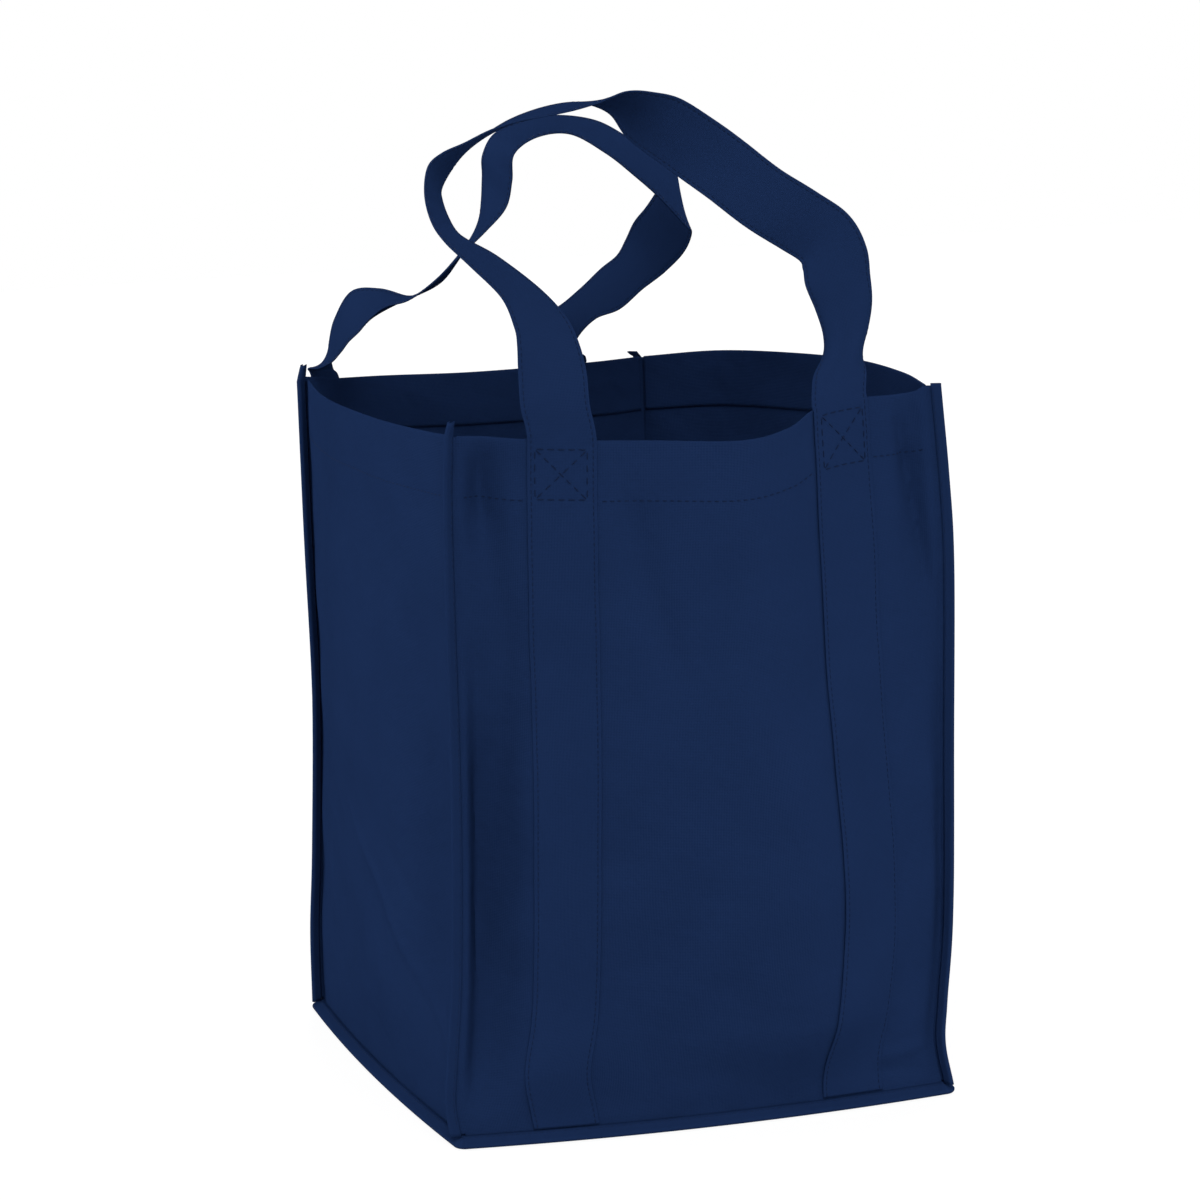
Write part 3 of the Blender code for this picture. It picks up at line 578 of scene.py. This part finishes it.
def bottom_piece(name, material):
    """The bottom: a Coons patch between the four bottom seams, level in the middle, with a skirt that
    eases up to the seam, and margins beyond it."""
    shares = [spaced([0.0, SKIRT, length - SKIRT, length], BOTTOM_CELL) / length
              for length in (WIDTH, DEPTH)]
    a, b = np.meshgrid(*shares, indexing="ij")
    a3, b3 = a[..., None], b[..., None]
    front, back = foot_line("front", shares[0]), foot_line("back", 1 - shares[0])
    left, right = foot_line("left", 1 - shares[1]), foot_line("right", shares[1])
    floor = front[:, None] * (1 - b3) + back[:, None] * b3 + left * (1 - a3) + right * a3
    floor -= ((front[0] * (1 - a3) + front[-1] * a3) * (1 - b3)
              + (back[0] * (1 - a3) + back[-1] * a3) * b3)
    edge = np.minimum(np.minimum(a, 1 - a) * WIDTH, np.minimum(b, 1 - b) * DEPTH)
    floor[..., 2] = CLOTH / 2 + (SEAM_Z - CLOTH / 2) * (1 - ease(edge / SKIRT))

    sides = {"front": (slice(None), 0), "back": (slice(None), -1), "left": (0, slice(None)),
             "right": (-1, slice(None))}
    for wall, place in sides.items():
        floor[place] -= foot_directions(wall)[1] * LAYER

    grid = np.full((floor.shape[0] + 2, floor.shape[1] + 2, 3), np.nan)
    grid[1:-1, 1:-1] = floor
    grid[1:-1, 0] = floor[:, 0] + foot_directions("front")[0] * MARGIN
    grid[1:-1, -1] = floor[:, -1] + foot_directions("back")[0] * MARGIN
    grid[0, 1:-1] = floor[0] + foot_directions("left")[0] * MARGIN
    grid[-1, 1:-1] = floor[-1] + foot_directions("right")[0] * MARGIN
    flat = [np.concatenate([[-MARGIN], share * length, [length + MARGIN]])
            for share, length in zip(shares, (WIDTH, DEPTH))]
    used = np.ones((grid.shape[0] - 1, grid.shape[1] - 1), bool)
    used[0, 0] = used[0, -1] = used[-1, 0] = used[-1, -1] = False
    return sheet_piece(name, grid, flat_grid(*flat), CLOTH, material, used)


def tape_section(start):
    """A tape's section, as distances out from the seam, across it and along the tape's own width: one
    leg, half a circle for the fold, and the other leg."""
    angles = np.linspace(math.pi / 2, -math.pi / 2, TAPE_FOLD_STEPS + 1)
    legs = np.linspace(start, FOLD_REACH, 5)[:-1]
    out = np.concatenate([legs, FOLD_REACH + FOLD_RADIUS * np.cos(angles), legs[::-1]])
    side = np.concatenate([0 * legs + TAPE_OFFSET, FOLD_RADIUS * np.sin(angles),
                           0 * legs - TAPE_OFFSET])
    return out, side, np.concatenate([[0.0], np.cumsum(np.hypot(np.diff(out), np.diff(side)))])


def corner_tape_piece(name, corner, material):
    """The tape round a corner seam's margins, its section carried up the seam from above the bottom
    seam to a tab over the rim."""
    t = spaced([TAPE_CLEAR, HEIGHT, HEIGHT + CORNERS[corner][2][0]], TAPE_CELL) / HEIGHT
    direction = flange_direction(corner, t)[:, None]
    out, offset, width = tape_section(CORNER_TAPE_START)
    points = (corner_line(corner, t)[:, None] + direction * out[:, None]
              - across(direction) * offset[:, None])
    return sheet_piece(name, points, flat_grid(t * HEIGHT, width), TAPE, material)


def bottom_tape_grid():
    """The bottom tape's middle surface: its section carried round the bottom seam, turned evenly at
    each corner. Also the direction across the section at each station."""
    place = []
    outward = []
    order = ("front", "right", "back", "left")
    for wall, following in zip(order, order[1:] + order[:1]):
        here, turned = across(wall_side(wall)), across(wall_side(following))
        seam = foot_line(wall, np.linspace(0.0, 1.0, SIDE_PLACES))
        turn = np.linspace(0.0, 1.0, TURN_PLACES)[1:-1, None]
        place += [seam, np.repeat(seam[-1:], len(turn), axis=0)]
        outward += [np.repeat(here[None], len(seam), axis=0), unit(here * (1 - turn) + turned * turn)]
    place = np.concatenate(place)
    down_slope, off_slope = slope_directions(np.concatenate(outward))
    out, offset, _ = tape_section(TAPE_START)
    points = place[:, None] + down_slope[:, None] * out[:, None] + off_slope[:, None] * offset[:, None]
    return points, off_slope


def bottom_tape_piece(name, material):
    """The tape round the bottom seam, one closed ring."""
    points, _ = bottom_tape_grid()
    uv = flat_grid(walked(points[:, 0]), tape_section(TAPE_START)[2])
    return sheet_piece(name, points, uv, TAPE, material, closed=True)


def strap_columns():
    """Places across a strap, from its edge outside the loop to the one inside it, close at its edges
    and at its two rows of stitches."""
    near_edge = STRAP_WIDTH / 2 - np.array(STRAP_EDGE)
    inner = np.linspace(-0.0125, 0.0125, 11)
    return np.concatenate([-near_edge, inner, near_edge[::-1]])


def strap_leg(wall, corner):
    """A strap's middle surface where it lies on a wall, in rows from the bottom tape to the rim."""
    near_first = corner == WALLS[wall][0]
    middle = STRAP_INSET + STRAP_WIDTH / 2
    places = strap_columns()
    columns = (middle + places) / WIDTH if near_first else 1 - (middle + places) / WIDTH
    order = np.argsort(columns)
    rows = wall_rows()[1:]
    surface = wall_surface(wall, columns[order], rows)
    over = CLOTH / 2 + STRAP_CLEAR + STRAP_THICKNESS / 2
    lifted = (surface + normals(surface) * over)[np.argsort(order)]
    return np.swapaxes(lifted, 0, 1)


def strap_surface(wall, corners, stations):
    """A whole strap's middle surface: up a wall, round its free loop and down the wall again.

    The loop's middle line and the way its width points are smooth lines through the stations. A curl
    bends the width into an arc: sideways sin(share x curl) / curl and back (1 - cos) / curl, times
    the strap's width.
    """
    up_leg, down_leg = (strap_leg(wall, corner) for corner in corners)
    hem_row = np.argmin(abs(wall_rows()[1:] - 1 + HEM / HEIGHT))
    knots = [leg[[hem_row, -1]] for leg in (up_leg, down_leg)]
    middle_column = up_leg.shape[1] // 2
    start, end = up_leg[-1, middle_column], down_leg[-1, middle_column]
    middle = (start + end) / 2
    inward = unit(np.array([0.0, -middle[1], 0.0]))
    centres = [row[middle_column] for row in knots[0]]
    widths = [unit(row[-1] - row[0]) for row in knots[0]]
    curls = [0.0, 0.0]
    for share, come_in, rise, *width in stations:
        centres.append(middle + (end - start) * share + inward * come_in + UP * rise)
        widths.append(unit(width[:3]))
        curls.append(width[3] if len(width) > 3 else 0.0)
    centres += [row[middle_column] for row in knots[1][::-1]]
    widths += [unit(row[-1] - row[0]) for row in knots[1][::-1]]
    curls += [0.0, 0.0]
    free = slice(LOOP_STEPS, -LOOP_STEPS)
    line = through(centres, LOOP_STEPS)[free]
    turn = unit(through(widths, LOOP_STEPS))[free]
    curl = np.maximum(through(np.array(curls)[:, None], LOOP_STEPS)[free], 0.001)
    face_back = unit(np.cross(np.gradient(line, axis=0), turn))
    shares = strap_columns() / STRAP_WIDTH
    sideways = np.sin(shares * curl) / curl * STRAP_WIDTH
    back = (np.cos(curl / 4) - np.cos(shares * curl)) / curl * STRAP_WIDTH
    loop = line[:, None] + turn[:, None] * sideways[..., None] + face_back[:, None] * back[..., None]
    rows = np.concatenate([up_leg, loop[1:-1], down_leg[::-1]])
    return rows, (len(up_leg), len(up_leg) + len(loop) - 2)


def strap_half_thickness():
    """Half a strap's thickness across its width: round at its folded edges, and drawn in along its
    two rows of stitches by a narrow bell."""
    places = strap_columns()
    from_edge = np.clip(STRAP_WIDTH / 2 - np.abs(places), 0.0, None)
    half = STRAP_THICKNESS / 2
    rounded = half * np.sqrt(np.clip(1 - np.clip(1 - from_edge / half, 0, 1) ** 2, 0.02, 1))
    return rounded - STITCH_PULL * np.exp(-(((from_edge - STITCH_INSET) / STITCH_PULL_WIDTH) ** 2))


def strap_piece(name, surface, material):
    """A strap as one closed band: its middle surface moved out and back by half its thickness, the two
    sheets joined along both edges and at both ends."""
    outward = -normals(surface)
    half = strap_half_thickness()[None, :, None]
    places = np.concatenate([(surface + outward * half), (surface - outward * half)[:, ::-1]], axis=1)
    count, ring = places.shape[:2]
    index = np.arange(count * ring).reshape(count, ring)
    here, there = index[:-1], index[1:]
    beside_here, beside_there = np.roll(here, -1, axis=1), np.roll(there, -1, axis=1)
    sides = np.stack([here, beside_here, beside_there, there], axis=-1).reshape(-1, 4)

    def cap(end):
        near, far = end[:ring // 2], end[::-1][:ring // 2]
        return np.stack([near[:-1], far[:-1], far[1:], near[1:]], axis=-1)

    faces = np.concatenate([sides, cap(index[0]), cap(index[-1])[:, [0, 3, 2, 1]]])
    flat = flat_grid(walked(surface[:, surface.shape[1] // 2]), strap_columns())
    uv = np.concatenate([flat, flat[:, ::-1]], axis=1)
    return new_piece(name, places.reshape(-1, 3), faces, material, uv.reshape(-1, 2))


def stitch_row(places, outward, pitch, length, radius):
    """Stitches along a line of places: their middles, their ways and the outward direction, evenly
    spaced by the pitch between its ends. Their length and radius go with them."""
    far = walked(places)
    count = max(1, int(far[-1] / pitch))
    at = (np.arange(count) + 0.5) * far[-1] / count

    def read(values, where):
        return np.stack([np.interp(where, far, column) for column in values.T], axis=-1)

    way = unit(read(places, at + length / 2) - read(places, at - length / 2))
    face = read(outward, at)
    face = unit(face - (face * way).sum(axis=1, keepdims=True) * way)
    return np.concatenate([read(places, at), way, face], axis=1), length, radius


def thread_piece(name, rows, material):
    """Sewn stitches as short thick threads, whose ends dip into the cloth.

    A stitch's section is a hexagon, its radius is largest in the middle, and its line is an arch:
    outward by its radius times (1 - share squared), less a little at its ends.
    """
    stitches = np.concatenate([row for row, _, _ in rows])
    length = np.concatenate([np.full(len(row), value) for row, value, _ in rows])
    radius = np.concatenate([np.full(len(row), value) for row, _, value in rows])[:, None]
    share = np.array([-1.0, -0.86, -0.45, 0.0, 0.45, 0.86, 1.0])
    swell = (np.array([0.12, 0.72, 1.0, 1.05, 1.0, 0.72, 0.12]) * radius)[..., None]
    rise = (radius * (0.9 * (1 - share**2) - 0.35))[..., None]
    angle = np.arange(6) * math.pi / 3
    middle, way, face = np.split(stitches[:, None, None], 3, axis=-1)
    beside = np.cross(way, face)
    places = (middle + way * (length[:, None] / 2 * share)[:, :, None, None]
              + face * (rise + swell * np.sin(angle))[..., None]
              + beside * (swell * np.cos(angle))[..., None])
    count, rings, corners = places.shape[:3]
    index = np.arange(count * rings * corners).reshape(count, rings, corners)
    here, there = index[:, :-1], index[:, 1:]
    sides = np.stack([here, there, np.roll(there, -1, axis=2), np.roll(here, -1, axis=2)], axis=-1)
    pairs = ([0, 3], [1, 4], [2, 5], [3, 0])
    low = np.stack([index[:, 0, pair] for pair in pairs], -1)
    high = np.stack([index[:, -1, pair] for pair in pairs[::-1]], -1)
    faces = np.concatenate([part.reshape(-1, 4) for part in (sides, low, high)])
    return new_piece(name, places.reshape(-1, 3), faces, material)


def on_leg(leg, face, across_share, up_share):
    """Places on a leg's outer face, and the way it looks there, from shares of a box's two sides."""
    columns = strap_columns()
    row = up_share * (len(leg) - 1)
    low = np.clip(np.floor(row).astype(int), 0, len(leg) - 2)
    part = (row - low)[:, None]
    column = np.interp(across_share, (0, 1), BOX_SPAN)
    beside = np.clip(np.searchsorted(columns, column) - 1, 0, len(columns) - 2)
    share = ((column - columns[beside]) / (columns[beside + 1] - columns[beside]))[:, None]

    def read(values):
        lower = values[low, beside] * (1 - share) + values[low, beside + 1] * share
        upper = values[low + 1, beside] * (1 - share) + values[low + 1, beside + 1] * share
        return lower * (1 - part) + upper * part

    return read(leg) + read(face) * STRAP_THICKNESS / 2, read(face)


def strap_stitches(surface, legs):
    """The stitch rows of a strap: along both edges on its outer face, along its free loop also on its
    inner face, and the crossed box on each leg at the hem."""
    outward = -normals(surface)
    edge = len(STRAP_EDGE)
    from_edge = STRAP_WIDTH / 2 - np.abs(strap_columns()[:edge])
    half = float(np.interp(STITCH_INSET, from_edge, strap_half_thickness()[:edge]))
    row_column = STRAP_EDGE.index(STITCH_INSET)
    rows = []
    free = slice(legs[0], legs[1])
    for column in (row_column, surface.shape[1] - 1 - row_column):
        rows.append(stitch_row(surface[:, column] + outward[:, column] * half, outward[:, column],
                               *STRAP_STITCHES))
        rows.append(stitch_row(surface[free, column] - outward[free, column] * half,
                               -outward[free, column], *STRAP_STITCHES))
    hem_rows = round(HEM / CELL) + 1
    way = np.linspace(0, 1, 40)
    for first, last in ((legs[0] - hem_rows, legs[0] - 2), (legs[1] + hem_rows, legs[1] + 1)):
        box = slice(first, last, 1 if last > first else -1)
        for line in ((0 * way, way), (0 * way + 1, way), (way, 0 * way), (way, 0 * way + 1),
                     (way, way), (way, 1 - way)):
            rows.append(stitch_row(*on_leg(surface[box], outward[box], *line), *BOX_STITCHES))
    return rows


def hem_stitches(wall):
    """The row of stitches that holds a wall's hem: on its outer face, clear of the straps and of the
    margins, and on the inner face of the hem."""
    length = wall_length(wall)
    u = wall_columns(wall)[3:-3]
    surface = wall_surface(wall, u, 1 - (HEM + np.array(HEM_ROWS)) / HEIGHT)
    outward = normals(surface)[:, 1]
    outer = surface[:, 1] + outward * CLOTH / 2
    inner = surface[:, 1] - outward * (HEM_STEP + CLOTH / 2)
    low_end, high_end = 0.004, length - 0.004
    stretches = [(low_end, high_end)]
    if wall in ("front", "back"):
        clear = 0.001
        inset, inner_side = STRAP_INSET - clear, STRAP_INSET + STRAP_WIDTH + clear
        stretches = [(low_end, inset), (inner_side, length - inner_side), (length - inset, high_end)]
    kind = FRONT_HEM_STITCHES if wall == "front" else HEM_STITCHES
    rows = []
    for low, high in stretches:
        kept = (u * length >= low) & (u * length <= high)
        rows.append(stitch_row(outer[kept], outward[kept], *kind))
    return rows + [stitch_row(inner, -outward, *INNER_HEM_STITCHES)]


def tape_stitches():
    """The rows of stitches near the tapes' open edges: on both faces of each corner tape, and on the
    upper face of the bottom tape."""
    t = np.linspace(SEAM_CLEAR * 2, HEIGHT, 160) / HEIGHT
    rows = []
    for corner in CORNERS:
        direction = flange_direction(corner, t)
        row = corner_line(corner, t) + direction * (CORNER_TAPE_START + TAPE_ROW)
        for side in (-across(direction), across(direction)):
            rows.append(stitch_row(row + side * (TAPE_OFFSET + TAPE / 2), side, *TAPE_STITCHES))
    points, off_slope = bottom_tape_grid()
    out = tape_section(TAPE_START)[0]
    part, column = math.modf(BOTTOM_TAPE_ROW / (out[1] - out[0]))
    column = int(column)
    line = points[:, column] * (1 - part) + points[:, column + 1] * part + off_slope * TAPE / 2
    rows.append(stitch_row(line, off_slope, *BOTTOM_TAPE_STITCHES))
    return rows


# ---- materials ----

def add_node(tree, kind, values, **settings):
    """A shader node with its settings, its inputs given values or joined to other nodes' sockets."""
    node = tree.nodes.new("ShaderNode" + kind)
    for name, value in settings.items():
        setattr(node, name, value)
    for name, value in values.items():
        if isinstance(value, bpy.types.NodeSocket):
            tree.links.new(value, node.inputs[name])
        else:
            node.inputs[name].default_value = value
    return node


def math_node(tree, operation, *values):
    """The result of a Math node whose inputs are sockets or numbers."""
    return add_node(tree, "Math", dict(enumerate(values)), operation=operation).outputs[0]


def new_group(name, vector, number, default, outputs):
    """A node group that takes a vector and a number and gives numbers, with its two end nodes."""
    tree = bpy.data.node_groups.new(name, "ShaderNodeTree")
    tree.interface.new_socket(name=vector, in_out="INPUT", socket_type="NodeSocketVector")
    socket = tree.interface.new_socket(name=number, in_out="INPUT", socket_type="NodeSocketFloat")
    socket.default_value = default
    for output in outputs:
        tree.interface.new_socket(name=output, in_out="OUTPUT", socket_type="NodeSocketFloat")
    return tree, tree.nodes.new("NodeGroupInput"), tree.nodes.new("NodeGroupOutput")


def bonded_dots_group():
    """The diagonal lattice of small dots of a bonded cloth: half of one less the product of a sine
    along each diagonal."""
    tree, given, result = new_group("bonded dots", "Cut", "Pitch", 0.0012, ["Height"])
    parts = add_node(tree, "SeparateXYZ", {0: given.outputs["Cut"]})
    turns = math_node(tree, "DIVIDE", 2 * math.pi * math.sqrt(0.5), given.outputs["Pitch"])
    rising = math_node(tree, "ADD", parts.outputs["X"], parts.outputs["Y"])
    falling = math_node(tree, "SUBTRACT", parts.outputs["X"], parts.outputs["Y"])
    first = math_node(tree, "SINE", math_node(tree, "MULTIPLY", rising, turns))
    second = math_node(tree, "SINE", math_node(tree, "MULTIPLY", falling, turns))
    product = math_node(tree, "MULTIPLY", first, second)
    lifted = math_node(tree, "ADD", math_node(tree, "MULTIPLY", product, 0.5), 0.5)
    tree.links.new(math_node(tree, "SUBTRACT", 1.0, lifted), result.inputs["Height"])
    return tree


def fibre_group():
    """The uneven fibres of the cloth: a coarse and a fine cloud, as a shade round 1 and a height."""
    tree, given, result = new_group("uneven fibres", "Place", "Amount", 0.10, ["Shade", "Height"])
    place = given.outputs["Place"]
    coarse = add_node(tree, "TexNoise", {"Scale": 22.0, "Detail": 3.0, "Vector": place}).outputs["Fac"]
    fine = add_node(tree, "TexNoise", {"Scale": 1400.0, "Detail": 2.0, "Vector": place}).outputs["Fac"]
    both = math_node(tree, "ADD", math_node(tree, "MULTIPLY", coarse, 0.6),
                     math_node(tree, "MULTIPLY", fine, 0.4))
    swing = math_node(tree, "MULTIPLY", math_node(tree, "SUBTRACT", both, 0.5), given.outputs["Amount"])
    tree.links.new(math_node(tree, "ADD", swing, 1.0), result.inputs["Shade"])
    tree.links.new(fine, result.inputs["Height"])
    return tree


def new_material(name):
    """A material, its node tree and its Principled shader."""
    material = bpy.data.materials.new(name)
    material.use_nodes = True
    return material, material.node_tree, material.node_tree.nodes["Principled BSDF"]


def tinted(tree, colour, shade):
    """A colour times a shade."""
    node = add_node(tree, "VectorMath", {0: colour, "Scale": shade}, operation="SCALE")
    return node.outputs["Vector"]


def cloth_material(name, colour, dots, fibres, pitch, dot_depth, crumple):
    """A matt bonded cloth: its colour shaded by the uneven tone of its fibres and by a painted shade of
    its dots, lighter on their tops and darker at their feet, and a bump from a soft crumple, the dots
    and the fibres."""
    material, tree, shader = new_material(name)
    place = add_node(tree, "TexCoord", {}).outputs["Object"]
    cut = add_node(tree, "UVMap", {}, uv_map="cut").outputs["UV"]
    lattice = add_node(tree, "Group", {}, node_tree=dots)
    lattice.inputs["Pitch"].default_value = pitch
    tree.links.new(cut, lattice.inputs["Cut"])
    uneven = add_node(tree, "Group", {}, node_tree=fibres)
    uneven.inputs["Amount"].default_value = FIBRE_SHADE
    tree.links.new(place, uneven.inputs["Place"])

    # Painted shade: each dot's top lighter and its foot darker, following its relief
    dot = math_node(tree, "MULTIPLY", lattice.outputs["Height"], DOT_PAINTED_SHADE)
    shade = math_node(tree, "MULTIPLY", uneven.outputs["Shade"],
                      math_node(tree, "ADD", dot, 1 - DOT_PAINTED_SHADE / 2))
    tree.links.new(tinted(tree, colour, shade), shader.inputs["Base Color"])

    folds = add_node(tree, "TexNoise", {"Scale": 38.0, "Detail": 4.0, "Roughness": 0.45,
                                        "Vector": place})
    soft = add_node(tree, "Bump", {"Distance": crumple, "Strength": 1.0,
                                   "Height": folds.outputs["Fac"]})
    fine = math_node(tree, "ADD", lattice.outputs["Height"],
                     math_node(tree, "MULTIPLY", uneven.outputs["Height"], 0.5))
    press = add_node(tree, "Bump", {"Distance": dot_depth, "Strength": 1.0, "Height": fine,
                                    "Normal": soft.outputs["Normal"]})
    tree.links.new(press.outputs["Normal"], shader.inputs["Normal"])

    shader.inputs["Roughness"].default_value = 0.95
    shader.inputs["Specular IOR Level"].default_value = 0.0
    shader.inputs["Metallic"].default_value = 0.0
    return material


def thread_material(name, colour):
    """Sewing thread: its colour shaded by a fine cloud."""
    material, tree, shader = new_material(name)
    place = add_node(tree, "TexCoord", {}).outputs["Object"]
    ply = add_node(tree, "TexNoise", {"Scale": 2600.0, "Vector": place})
    shade = math_node(tree, "ADD", ply.outputs["Fac"], 0.5)
    tree.links.new(tinted(tree, colour, shade), shader.inputs["Base Color"])
    shader.inputs["Roughness"].default_value = 0.8
    shader.inputs["Specular IOR Level"].default_value = 0.05
    return material


# ---- the stage ----

def placed(name, data, right, up, back, place):
    """A camera or a lamp at a place, its own X, Y and Z turned to right, up and back."""
    body = bpy.data.objects.new(name, data)
    matrix = np.eye(4)
    matrix[:3] = np.stack([right, up, back, place], axis=-1)
    body.matrix_world = Matrix(matrix.tolist())
    bpy.context.scene.collection.objects.link(body)
    return body


def aim_camera():
    """The camera, from its turn about Z, its tilt down and its roll, at a distance from the place that
    it looks at. Its focal length is that of the photo, in pixels of a frame this wide."""
    turn, tilt, roll, distance = 0.37250, 0.20647, -0.01711, 2.12822
    looked_at = np.array([-0.00868, 0.0, 0.27491])
    focal_pixels, frame_pixels = 3595.8, 1200
    forward = np.array([math.sin(turn) * math.cos(tilt), math.cos(turn) * math.cos(tilt),
                        -math.sin(tilt)])
    right = np.array([math.cos(turn), -math.sin(turn), 0.0])
    up = np.cross(right, forward)
    right, up = (right * math.cos(roll) + up * math.sin(roll),
                 up * math.cos(roll) - right * math.sin(roll))
    data = bpy.data.cameras.new("view")
    data.sensor_width = 36.0
    data.lens = 36.0 * focal_pixels / frame_pixels
    data.clip_start = 0.05
    camera = placed("view", data, right, up, -forward, looked_at - distance * forward)
    bpy.context.scene.camera = camera


def mix_shaders(tree, share, first, second, output):
    """Two shaders mixed by a share, into the tree's output."""
    mix = add_node(tree, "MixShader", {0: share, 1: first.outputs[0], 2: second.outputs[0]})
    add_node(tree, output, {0: mix.outputs[0]})


def light_bag():
    """Five wide soft lamps round the bag, each by its turn from the front toward the right, its
    height above level, its strength and its spread, and an even white world that the camera sees
    brighter than the bag does."""
    for name, turn, rise, strength, spread in (
            ("left_lamp", -110, 12, 0.56, 40),
            ("front_lamp", -10, 32, 0.42, 42),
            ("high_lamp", -30, 60, 0.40, 45),
            ("right_lamp", 70, 8, 0.36, 45),
            ("back_lamp", 145, 18, 0.85, 50)):
        turn, rise = math.radians(turn), math.radians(rise)
        data = bpy.data.lights.new(name, "SUN")
        data.energy = math.pi * strength
        data.angle = math.radians(spread)
        back = unit((math.sin(turn) * math.cos(rise), -math.cos(turn) * math.cos(rise), math.sin(rise)))
        right = unit(np.cross((0.0, 0.0, 1.0), back))
        placed(name, data, right, np.cross(back, right), back, back * 2)

    world = bpy.data.worlds.new("studio")
    bpy.context.scene.world = world
    world.use_nodes = True
    tree = world.node_tree
    tree.nodes.clear()
    felt = add_node(tree, "Background", {"Color": (1, 1, 1, 1), "Strength": 0.10})
    seen = add_node(tree, "Background", {"Color": (1, 1, 1, 1), "Strength": 1.0})
    path = add_node(tree, "LightPath", {}).outputs
    mirrored = math_node(tree, "ADD", path["Is Glossy Ray"], path["Is Transmission Ray"])
    share = math_node(tree, "MINIMUM", math_node(tree, "ADD", path["Is Camera Ray"], mirrored), 1.0)
    mix_shaders(tree, share, felt, seen, "OutputWorld")


def lay_floor():
    """A plain white floor that keeps a faint shadow of the bag."""
    side, drop = 4, 0.0004
    places = np.array([[-side, -side, -drop], [side, -side, -drop], [side, side, -drop],
                       [-side, side, -drop]], float)
    material = bpy.data.materials.new("white floor")
    material.use_nodes = True
    tree = material.node_tree
    tree.nodes.clear()
    surface = add_node(tree, "BsdfDiffuse", {"Color": (0.8, 0.8, 0.8, 1)})
    glow = add_node(tree, "Emission", {"Color": (1, 1, 1, 1), "Strength": 1.10})
    path = add_node(tree, "LightPath", {})
    share = math_node(tree, "MULTIPLY", path.outputs["Is Camera Ray"], 0.80)
    mix_shaders(tree, share, surface, glow, "OutputMaterial")
    floor = new_piece("floor", places, np.array([[0, 1, 2, 3]]), material)


def make_bag():
    """Every piece of the bag, each in the place of its solid."""
    dots, fibres = bonded_dots_group(), fibre_group()
    cloth = cloth_material("navy bonded cloth", NAVY, dots, fibres, pitch=0.00125, dot_depth=0.00010,
                           crumple=0.0022)
    tape = cloth_material("navy binding tape", NAVY_TAPE, dots, fibres, pitch=0.00090,
                          dot_depth=0.00005, crumple=0.0006)
    strap = cloth_material("navy folded strap", NAVY, dots, fibres, pitch=0.00115, dot_depth=0.00008,
                           crumple=0.0009)
    # This thread's colour is darker than the cloth, a painted shade of the dips between its stitches
    thread = thread_material("navy thread with painted shade", NAVY_THREAD_PAINTED_SHADE)
    tape_thread = thread_material("navy tape thread", NAVY_TAPE_THREAD)

    for name, wall in (("front_panel", "front"), ("right_gusset", "right"), ("back_panel", "back"),
                       ("left_gusset", "left")):
        piece = wall_piece(name + "_cloth", wall, cloth)
        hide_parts(name)
        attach(piece, "root")
        seam = thread_piece(name + "_hem_stitches", hem_stitches(wall), thread)
        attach(seam, "root")

    bottom = bottom_piece("bottom_panel_cloth", cloth)
    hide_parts("bottom_panel")
    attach(bottom, "root")

    stitches = thread_piece("tape_stitches", tape_stitches(), tape_thread)
    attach(stitches, "root")
    for corner in CORNERS:
        piece = corner_tape_piece("binding_" + corner + "_tape", corner, tape)
        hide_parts("binding_" + corner)
        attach(piece, "root")
    piece = bottom_tape_piece("bottom_binding_tape", tape)
    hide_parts("bottom_binding")
    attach(piece, "root")

    for name, wall, corners, stations in (
            ("front_handle", "front", ("front_left", "front_right"), FRONT_LOOP),
            ("back_handle", "back", ("back_left", "back_right"), BACK_LOOP)):
        surface, legs = strap_surface(wall, corners, stations)
        piece = strap_piece(name + "_strap", surface, strap)
        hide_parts(name)
        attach(piece, "root")
        seam = thread_piece(name + "_stitches", strap_stitches(surface, legs), thread)
        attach(seam, "root")


bpy.context.scene.view_settings.view_transform = "Standard"
aim_camera()
light_bag()
lay_floor()
make_bag()
